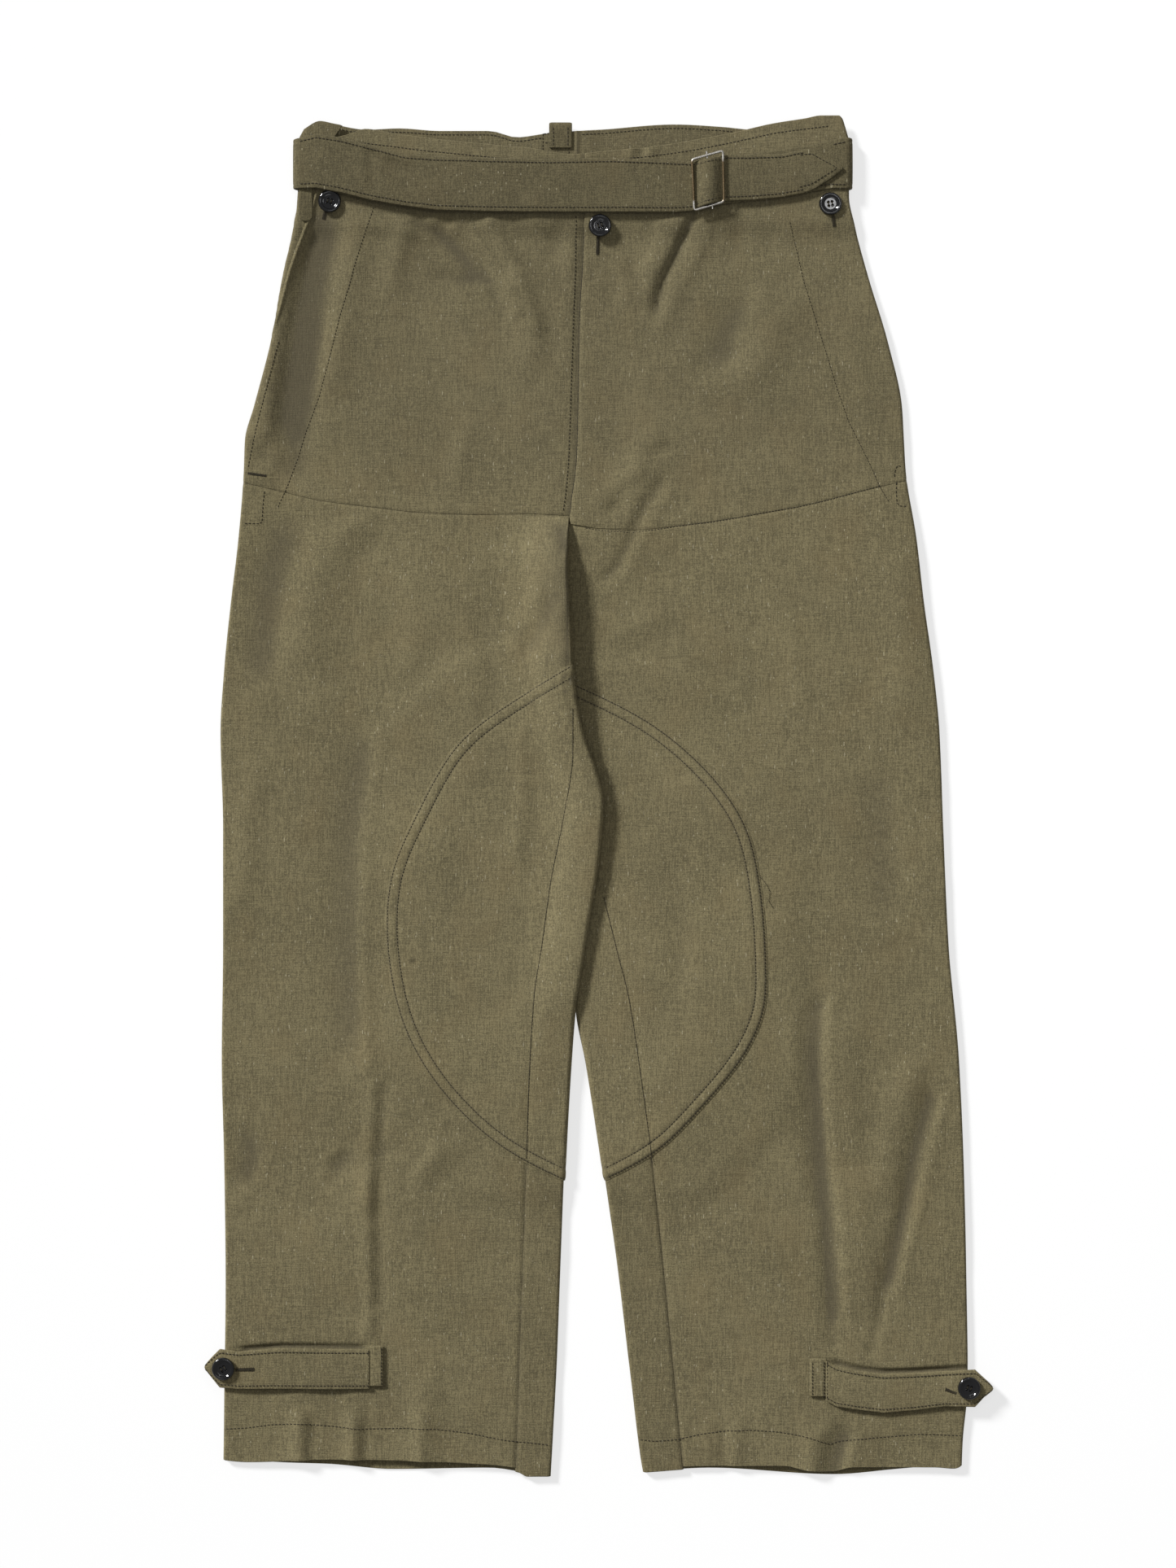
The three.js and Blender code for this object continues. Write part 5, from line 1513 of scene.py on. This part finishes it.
def sew_patches(sewn):
    """Two rows round each patch, and the inseam's line across it."""
    for half in HALVES:
        outline = resampled(patch_boundary(half), 6.0)
        for distance in (PATCH_EDGE, PATCH_EDGE + ROWS_APART):
            path = moved(outline, distance * SIGN[half])
            sewn.row(visible_part(half, path), on_patch(half), 2.6)
    for half in HALVES:
        y = np.linspace(*INSEAM_ON_PATCH[half], 60)
        seam = np.stack([CURVES["inseam_" + half](y), y], axis=1)
        sewn.row(seam, raised(on_patch(half), 0.16), 3.0, radius=0.3, fill=1.04, rise=0.0, dip=0.02)


def sew_fronts(sewn):
    """Fly, facings, side opening, hems, cross seam and waist."""
    right, left = on_leg("right"), on_leg("left")
    sewn.row(from_photo(FLY_ROW_PX), right)
    sewn.row(from_photo(FACING_LEFT_PX), right, **FINE_ROW)
    sewn.row(from_photo(FACING_RIGHT_PX), left, **FINE_ROW)
    sewn.row(from_photo(BOX_LEFT_PX), right)
    for points in (BOX_RIGHT_PX, CURVE_RIGHT_PX):
        sewn.row(from_photo(points), left)
    sewn.row(from_photo(OPENING_ROW_PX), right, 2.8, radius=0.3)
    sewn.bars(*from_photo(TACK_LEFT_PX), TACK_WIDTH, right, 0.55)
    sewn.row(from_photo(HEM_RIGHT_PX), right)
    sewn.row(from_photo(HEM_LEFT_PX), left)
    sewn.row(from_photo(CROSS_LEFT_PX), raised(left, -0.25), 2.4, radius=0.28)
    waist = np.array(from_photo(WAIST_ROW_PX))
    sewn.row(waist[waist[:, 0] < FLY_SIDES[0]], right)
    sewn.row(waist[waist[:, 0] > FLY_SIDES[1]], proud_front)


def sew_belt(sewn):
    """Both edges of the strap, its start and its pointed end."""
    run = np.array([row for row in BELT_FRONT if row[0] < BELT_ROW_END])
    for inset in BELT_ROWS:
        share = inset / BELT_WIDTH
        path = np.stack([run[:, 0], run[:, 1] + (run[:, 2] - run[:, 1]) * share], axis=1)
        sewn.row(path, belt_top)
    for path in BELT_START_ROWS:
        sewn.row(path, level(BELT_START_TOP), 2.8)
    sewn.row(moved(BELT_TIP, -TIP_INSET), belt_top)


def sew_tabs(sewn):
    """Both edges of each ankle tab, and the ends of the keepers."""
    for half in HALVES:
        rows = sorted(tab_rows(half))
        height = tab_top(half)
        for share in TAB_ROWS:
            path = [(x, top + (bottom - top) * share) for x, top, bottom, _ in rows]
            sewn.row(path, height, 2.7)
    for path in KEEPER_ROWS_PX:
        half = "right" if path[0][0] < MIDDLE_PX[0] else "left"
        sewn.row(from_photo(path), on_keeper(half), 2.5)


def sew_back(sewn):
    """The centre loop, and the inside of the back where it shows above the front's waist edge."""
    for x in (LOOP_X - LOOP_ROW_OUT, LOOP_X + LOOP_ROW_OUT):
        sewn.row([(x, y) for y in LOOP_ROW_HEIGHTS], level(LOOP_ROW_TOP), **FINE_ROW)
    for path in INSIDE_BACK_PX:
        sewn.row(from_photo(path), inside_back, **FINE_ROW)
    x = np.linspace(*BACK_ROW_ENDS, 140)
    edge = CURVES["waist_back"](x) - BACK_ROW_INSET
    for part in (x < BEHIND_LOOP[0], x > BEHIND_LOOP[1]):
        shown = part & (edge > CURVES["waist_front"](x) + 1.5)
        sewn.row(np.stack([x, edge], axis=1)[shown], inside_back, radius=0.3)


def sew_fly_edge(sewn):
    """A painted shadow strand at the foot of the fly's edge, and one loose thread on the left thigh."""
    y = np.linspace(*FLY_EDGE_ENDS, 40)
    fly_shadow_strand = np.stack([CURVES["fly"](y) - 0.5, y], axis=1)
    sewn.row(fly_shadow_strand, raised(on_leg("right"), -0.1), 3.0, radius=0.34, fill=1.04, rise=0.0, dip=0.0)
    thread = from_photo(LOOSE_THREAD_PX)
    sewn.row(thread, raised(on_leg("left"), 0.3), 1.6, radius=0.16, fill=1.05, rise=0.3, dip=0.0)


def build_stitching():
    sewn = Stitches()
    for sew in (sew_patches, sew_fronts, sew_belt, sew_tabs, sew_back, sew_fly_edge):
        sew(sewn)
    settle(sewn.build("sewing_stitches", material("thread")), "canvas")


# Buttons and buttonholes
# The rim of a button in section: radius, height
BUTTON_PROFILE = [
    (4.6, 1.65), (5.4, 1.8), (6.0, 2.3), (6.5, 2.75), (7.1, 3.0), (7.7, 2.95), (8.3, 2.6), (8.7, 2.0),
    (8.8, 1.2), (8.3, 0.4), (7.4, 0.0),
]
BUTTON_FACE = 1.6
FACE_RADIUS = 4.2
BUTTON_AROUND = 64
HOLE_RING = 2.0
HOLE_RADIUS = 0.95
HOLE_DEPTH = 1.45
# Place of each button, the half it lies on and its turn in degrees
BUTTONS = {
    "button_fly": (1, 441, "left", 20),
    "button_hip_right": (-208, 460, "right", -15),
    "button_hip_left": (179, 458, "left", 8),
    "button_ankle_right": (-290, -442, "right", 30),
    "button_ankle_left": (286, -457, "left", -20),
}


def hole_centres(turned):
    turns = [math.radians(turned) + (i + 0.5) * math.pi / 2 for i in range(4)]
    return [(HOLE_RING * math.cos(a), HOLE_RING * math.sin(a)) for a in turns]


def button_parts(turned):
    """Points and faces of a dished button with a raised rim and four holes."""
    around = BUTTON_AROUND
    turn = np.arange(around) / around * 2 * math.pi
    inner = np.linspace(0.001, FACE_RADIUS, 26)
    radii = np.concatenate([inner, [p[0] for p in BUTTON_PROFILE], [0.001]])
    heights = np.concatenate([BUTTON_FACE + 0.01 * inner, [p[1] for p in BUTTON_PROFILE], [0.0]])
    x = radii[:, None] * np.cos(turn)[None, :]
    y = radii[:, None] * np.sin(turn)[None, :]
    z = np.repeat(heights[:, None], around, axis=1)
    top = np.arange(len(radii)) < len(inner)
    for hole_x, hole_y in hole_centres(turned):
        d = np.hypot(x - hole_x, y - hole_y)
        z = z - top[:, None] * HOLE_DEPTH * (1 - ease(HOLE_RADIUS - 0.3, HOLE_RADIUS, d))
    faces = []
    for i in range(len(radii) - 1):
        for k in range(around):
            m = (k + 1) % around
            faces.append([i * around + k, (i + 1) * around + k, (i + 1) * around + m, i * around + m])
    return np.stack([x, y, z], axis=-1).reshape(-1, 3), faces


def button_seat(name, x, y, half):
    """Height of a button's underside, on its ankle tab or on the highest cloth under it."""
    if "ankle" in name:
        return max(row[3] for row in sorted(tab_rows(half))) + 2.3
    near = [(x + i * 6, y + j * 6) for i in (-1, 0, 1) for j in (-1, 0, 1)]
    return max(float(upperside(half, px, py, fine=False)) for px, py in near) + 0.3


def build_buttons():
    ties = Stitches()
    for name, (x, y, half, turned) in BUTTONS.items():
        z = button_seat(name, x, y, half)
        points, faces = button_parts(turned)
        piece = new_object(f"gloss_{name}", points + np.array([x, y, z]), faces, material("button"), 60)
        settle(piece, "button", name)
        tied = z + BUTTON_FACE + 0.1
        holes = [np.array([x + hole_x, y + hole_y, tied]) for hole_x, hole_y in hole_centres(turned)]
        for a, b in ((0, 3), (1, 2)):
            for offset in (-0.22, 0.22):
                side = np.array([-(holes[b] - holes[a])[1], (holes[b] - holes[a])[0], 0])
                side = side / np.linalg.norm(side) * offset
                ties.strand(holes[a] + side, holes[b] + side, 0.24, 0.15, 0.7)
    settle(ties.build("button_ties", material("thread")), "canvas")


# Half, both ends, width of the worked edge, and what the hole lies on
BUTTONHOLES_PX = [
    ("left", (735, 292), (734, 313), 2.8, "fly"),
    ("right", (401, 257), (398, 270), 3.6, "leg"),
    ("left", (1023, 266), (1025, 279), 3.4, "leg"),
    ("right", (290, 1682), (313, 1681.5), 3.2, "tab"),
    ("left", (1161, 1706), (1174, 1711), 3.2, "tab"),
]


def build_buttonholes():
    worked = Stitches()
    slit_shadows = []
    for half, start, end, width, where in BUTTONHOLES_PX:
        height = {"fly": proud_front, "leg": on_leg(half), "tab": tab_top(half)}[where]
        a, b = from_photo([start, end])
        worked.bars(a, b, width, raised(height, 0.05))
        # Dark strand down the first half of each slit: painted shade in the opening
        path = resampled([a, np.array(a) * 0.45 + np.array(b) * 0.55], 1.2)
        z = np.asarray(height(path[:, 0], path[:, 1])) + 0.34
        slit_shadows.append(tube(np.concatenate([path, np.broadcast_to(z, len(path))[:, None]], axis=1), 0.2, 6))
    points, faces = joined(slit_shadows)
    settle(new_object("buttonhole_slit_shadows", points, faces, material("thread")), "canvas")
    settle(worked.build("buttonhole_stitches", material("thread")), "canvas")


# Stage: the camera's centre in mm, the rest in m
CAMERA_CENTRE = (-8.28, 9.61)
CAMERA_HEIGHT = 2.4
CLOTH_LEVEL = 0.004
VIEW_LENGTH = 1.21401
SENSOR = 36
FLOOR_REACH = 80.0
FLOOR_Z = -0.0004
TOP_LIGHT = (-0.1, -0.02, 1.35)
GLINT_LIGHT = (0.284, 0.71, 1.36)
GLINT_SIZE = 0.3


def soft_light(name, size, power, location):
    """Round lamp that shines straight down."""
    lamp = bpy.data.lights.new(name, "AREA")
    lamp.shape = "DISK"
    lamp.size = size
    lamp.energy = power
    link(bpy.data.objects.new(name, lamp)).location = location


def build_floor(stage):
    floor = bpy.data.meshes.new(FLOOR)
    corners = [(x * FLOOR_REACH, y * FLOOR_REACH, 0) for x, y in ((-1, -1), (1, -1), (1, 1), (-1, 1))]
    floor.from_pydata(corners, [], [[0, 1, 2, 3]])
    g = Graph("studio_paper", 0.9, specular=0.1)
    p = g.millimetres()
    grain = g.noise(g.stretched(p, (0.5, 0.5, 0.5)), 2.0)
    shade = stage.paper
    color = g.blend(grain, rgba([shade] * 3), rgba([shade * 1.02] * 3))
    g.shader.inputs["Emission Color"].default_value = (1, 1, 1, 1)
    g.shader.inputs["Emission Strength"].default_value = stage.paper_glow
    floor.materials.append(g.finish(color))
    sheet = link(bpy.data.objects.new(FLOOR, floor))
    sheet.location.z = FLOOR_Z


def build_lights(stage):
    """White surroundings, a low key light, and two lamps overhead."""
    world = bpy.data.worlds.new("studio_light")
    bpy.context.scene.world = world
    world.use_nodes = True
    world.node_tree.nodes["Background"].inputs["Color"].default_value = (1, 1, 1, 1)
    world.node_tree.nodes["Background"].inputs["Strength"].default_value = stage.fill
    soft_light("top_light", stage.top_size, stage.top, TOP_LIGHT)
    soft_light("glint_light", GLINT_SIZE, stage.glint, GLINT_LIGHT)
    sun = bpy.data.lights.new("key_light", "SUN")
    sun.energy = stage.key
    sun.angle = stage.key_softness
    key = link(bpy.data.objects.new("key_light", sun))
    low, turn = stage.key_elevation, stage.key_direction
    towards = Vector((math.cos(low) * math.cos(turn), math.cos(low) * math.sin(turn), math.sin(low)))
    key.rotation_euler = towards.to_track_quat("Z", "Y").to_euler()


def build_camera():
    """Straight down on the middle of the photograph's frame."""
    camera = bpy.data.cameras.new("camera")
    camera.sensor_width = SENSOR
    camera.lens = SENSOR * CAMERA_HEIGHT / VIEW_LENGTH
    camera.clip_end = 50
    eye = link(bpy.data.objects.new("camera", camera))
    eye.location = (CAMERA_CENTRE[0] * MM, CAMERA_CENTRE[1] * MM, CAMERA_HEIGHT + CLOTH_LEVEL)
    bpy.context.scene.camera = eye
    bpy.context.scene.view_settings.view_transform = "Standard"


def build_stage():
    stage = bpy.context.scene.trousers_stage
    build_floor(stage)
    build_lights(stage)
    build_camera()


class TrousersCloth(bpy.types.PropertyGroup):
    """Finishes of the cloth and trims."""

    canvas: FloatVectorProperty(name="Canvas", description="Mean colour of the canvas", subtype="COLOR",
                                default=(0.1455, 0.1235, 0.0655), min=0, max=1)
    thread: FloatVectorProperty(name="Thread", description="Sewing thread", subtype="COLOR",
                                default=(0.026, 0.021, 0.012), min=0, max=1)
    fleck: FloatVectorProperty(name="Flecks", description="Pale fibres in the canvas", subtype="COLOR",
                               default=(0.42, 0.38, 0.26), min=0, max=1)
    button: FloatVectorProperty(name="Buttons", description="Black button", subtype="COLOR",
                                default=(0.0035, 0.0035, 0.004), min=0, max=1)
    brass: FloatVectorProperty(name="Buckle", description="Sides of the wire buckle", subtype="COLOR",
                               default=(0.17, 0.125, 0.07), min=0, max=1)
    yarn_pitch: FloatProperty(name="Yarn pitch", description="Distance between yarns", subtype="DISTANCE",
                              default=0.0008, min=0.0003, max=0.003)


class TrousersStage(bpy.types.PropertyGroup):
    """Lights and floor."""

    key: FloatProperty(name="Key light", description="Strength of the sun lamp", default=5.0, min=0, max=20)
    key_softness: FloatProperty(name="Key softness", description="Angle of the sun lamp", subtype="ANGLE",
                                default=math.radians(10), min=0, max=math.pi)
    key_elevation: FloatProperty(name="Key elevation", description="Height of the key light", subtype="ANGLE",
                                 default=math.radians(26), min=0, max=math.pi / 2)
    key_direction: FloatProperty(name="Key direction", description="Side of the key light", subtype="ANGLE",
                                 default=math.radians(138), min=-math.pi, max=math.pi)
    fill: FloatProperty(name="Fill light", description="Strength of the surrounding light", default=0.27,
                        min=0, max=5)
    top: FloatProperty(name="Top light", description="Power of the soft light overhead", default=1.6, min=0,
                       max=100)
    glint: FloatProperty(name="Glint light", description="Power of the lamp mirrored in a button",
                         default=1.6, min=0, max=100)
    top_size: FloatProperty(name="Top light size", description="Width of the soft light", subtype="DISTANCE",
                            default=0.7, min=0.01, max=5)
    paper: FloatProperty(name="Paper", description="Reflectance of the floor", default=0.3, min=0, max=1)
    paper_glow: FloatProperty(name="Paper glow", description="Light from the lit paper itself", default=0.675,
                              min=0, max=2)


class TROUSERS_OT_stage(bpy.types.Operator):
    """White floor, key and fill light, and the camera"""

    bl_idname = "trousers.stage"
    bl_label = "Stage"

    def execute(self, context):
        build_stage()
        return {"FINISHED"}


class TROUSERS_OT_backs(bpy.types.Operator):
    """Both back panels, from waist to hem and round to the inseams"""

    bl_idname = "trousers.backs"
    bl_label = "Back panels"

    def execute(self, context):
        for half in HALVES:
            build_back(half)
        return {"FINISHED"}


class TROUSERS_OT_fronts(bpy.types.Operator):
    """Upper fronts with the fly, and leg fronts"""

    bl_idname = "trousers.fronts"
    bl_label = "Front panels"

    def execute(self, context):
        for half in HALVES:
            build_upper_front(half)
            build_leg_front(half)
        return {"FINISHED"}


class TROUSERS_OT_patches(bpy.types.Operator):
    """Oval patches folded round the inner legs"""

    bl_idname = "trousers.patches"
    bl_label = "Inner leg patches"

    def execute(self, context):
        for half in HALVES:
            build_patch(half)
        return {"FINISHED"}


class TROUSERS_OT_belt(bpy.types.Operator):
    """Cloth belt with its wire buckle"""

    bl_idname = "trousers.belt"
    bl_label = "Belt and buckle"

    def execute(self, context):
        build_belt()
        build_buckle()
        return {"FINISHED"}


class TROUSERS_OT_loops(bpy.types.Operator):
    """Belt loops at the centre back and the side"""

    bl_idname = "trousers.loops"
    bl_label = "Belt loops"

    def execute(self, context):
        build_centre_loop()
        build_side_loop()
        return {"FINISHED"}


class TROUSERS_OT_tabs(bpy.types.Operator):
    """Pointed ankle tabs and the keepers that hold them"""

    bl_idname = "trousers.tabs"
    bl_label = "Ankle tabs"

    def execute(self, context):
        for half in HALVES:
            build_tab(half)
        return {"FINISHED"}


class TROUSERS_OT_buttons(bpy.types.Operator):
    """Buttons with their thread, and worked buttonholes"""

    bl_idname = "trousers.buttons"
    bl_label = "Buttons and buttonholes"

    def execute(self, context):
        build_buttons()
        build_buttonholes()
        return {"FINISHED"}


class TROUSERS_OT_stitching(bpy.types.Operator):
    """Rows of sewing thread on every panel and trim"""

    bl_idname = "trousers.stitching"
    bl_label = "Stitching"

    def execute(self, context):
        build_stitching()
        return {"FINISHED"}


STEPS = (TROUSERS_OT_stage, TROUSERS_OT_backs, TROUSERS_OT_fronts, TROUSERS_OT_patches, TROUSERS_OT_belt,
         TROUSERS_OT_loops, TROUSERS_OT_tabs, TROUSERS_OT_buttons, TROUSERS_OT_stitching)


class TROUSERS_PT_panel(bpy.types.Panel):
    """Sizes and steps of the trousers"""

    bl_label = "Motorcycle Trousers"
    bl_idname = "TROUSERS_PT_panel"
    bl_space_type = "VIEW_3D"
    bl_region_type = "UI"
    bl_category = "Trousers"

    def draw(self, context):
        for group in (context.scene.trousers_cloth, context.scene.trousers_stage):
            for name in group.bl_rna.properties.keys():
                if name not in ("rna_type", "name"):
                    self.layout.prop(group, name)
        for step in STEPS:
            self.layout.operator(step.bl_idname)


CLASSES = (TrousersCloth, TrousersStage, *STEPS, TROUSERS_PT_panel)


def register():
    for cls in CLASSES:
        bpy.utils.register_class(cls)
    bpy.types.Scene.trousers_cloth = PointerProperty(type=TrousersCloth)
    bpy.types.Scene.trousers_stage = PointerProperty(type=TrousersStage)


def unregister():
    del bpy.types.Scene.trousers_stage
    del bpy.types.Scene.trousers_cloth
    for cls in reversed(CLASSES):
        bpy.utils.unregister_class(cls)


def main():
    register()
    for step in STEPS:
        group, name = step.bl_idname.split(".")
        getattr(getattr(bpy.ops, group), name)()


if __name__ == "__main__":
    main()
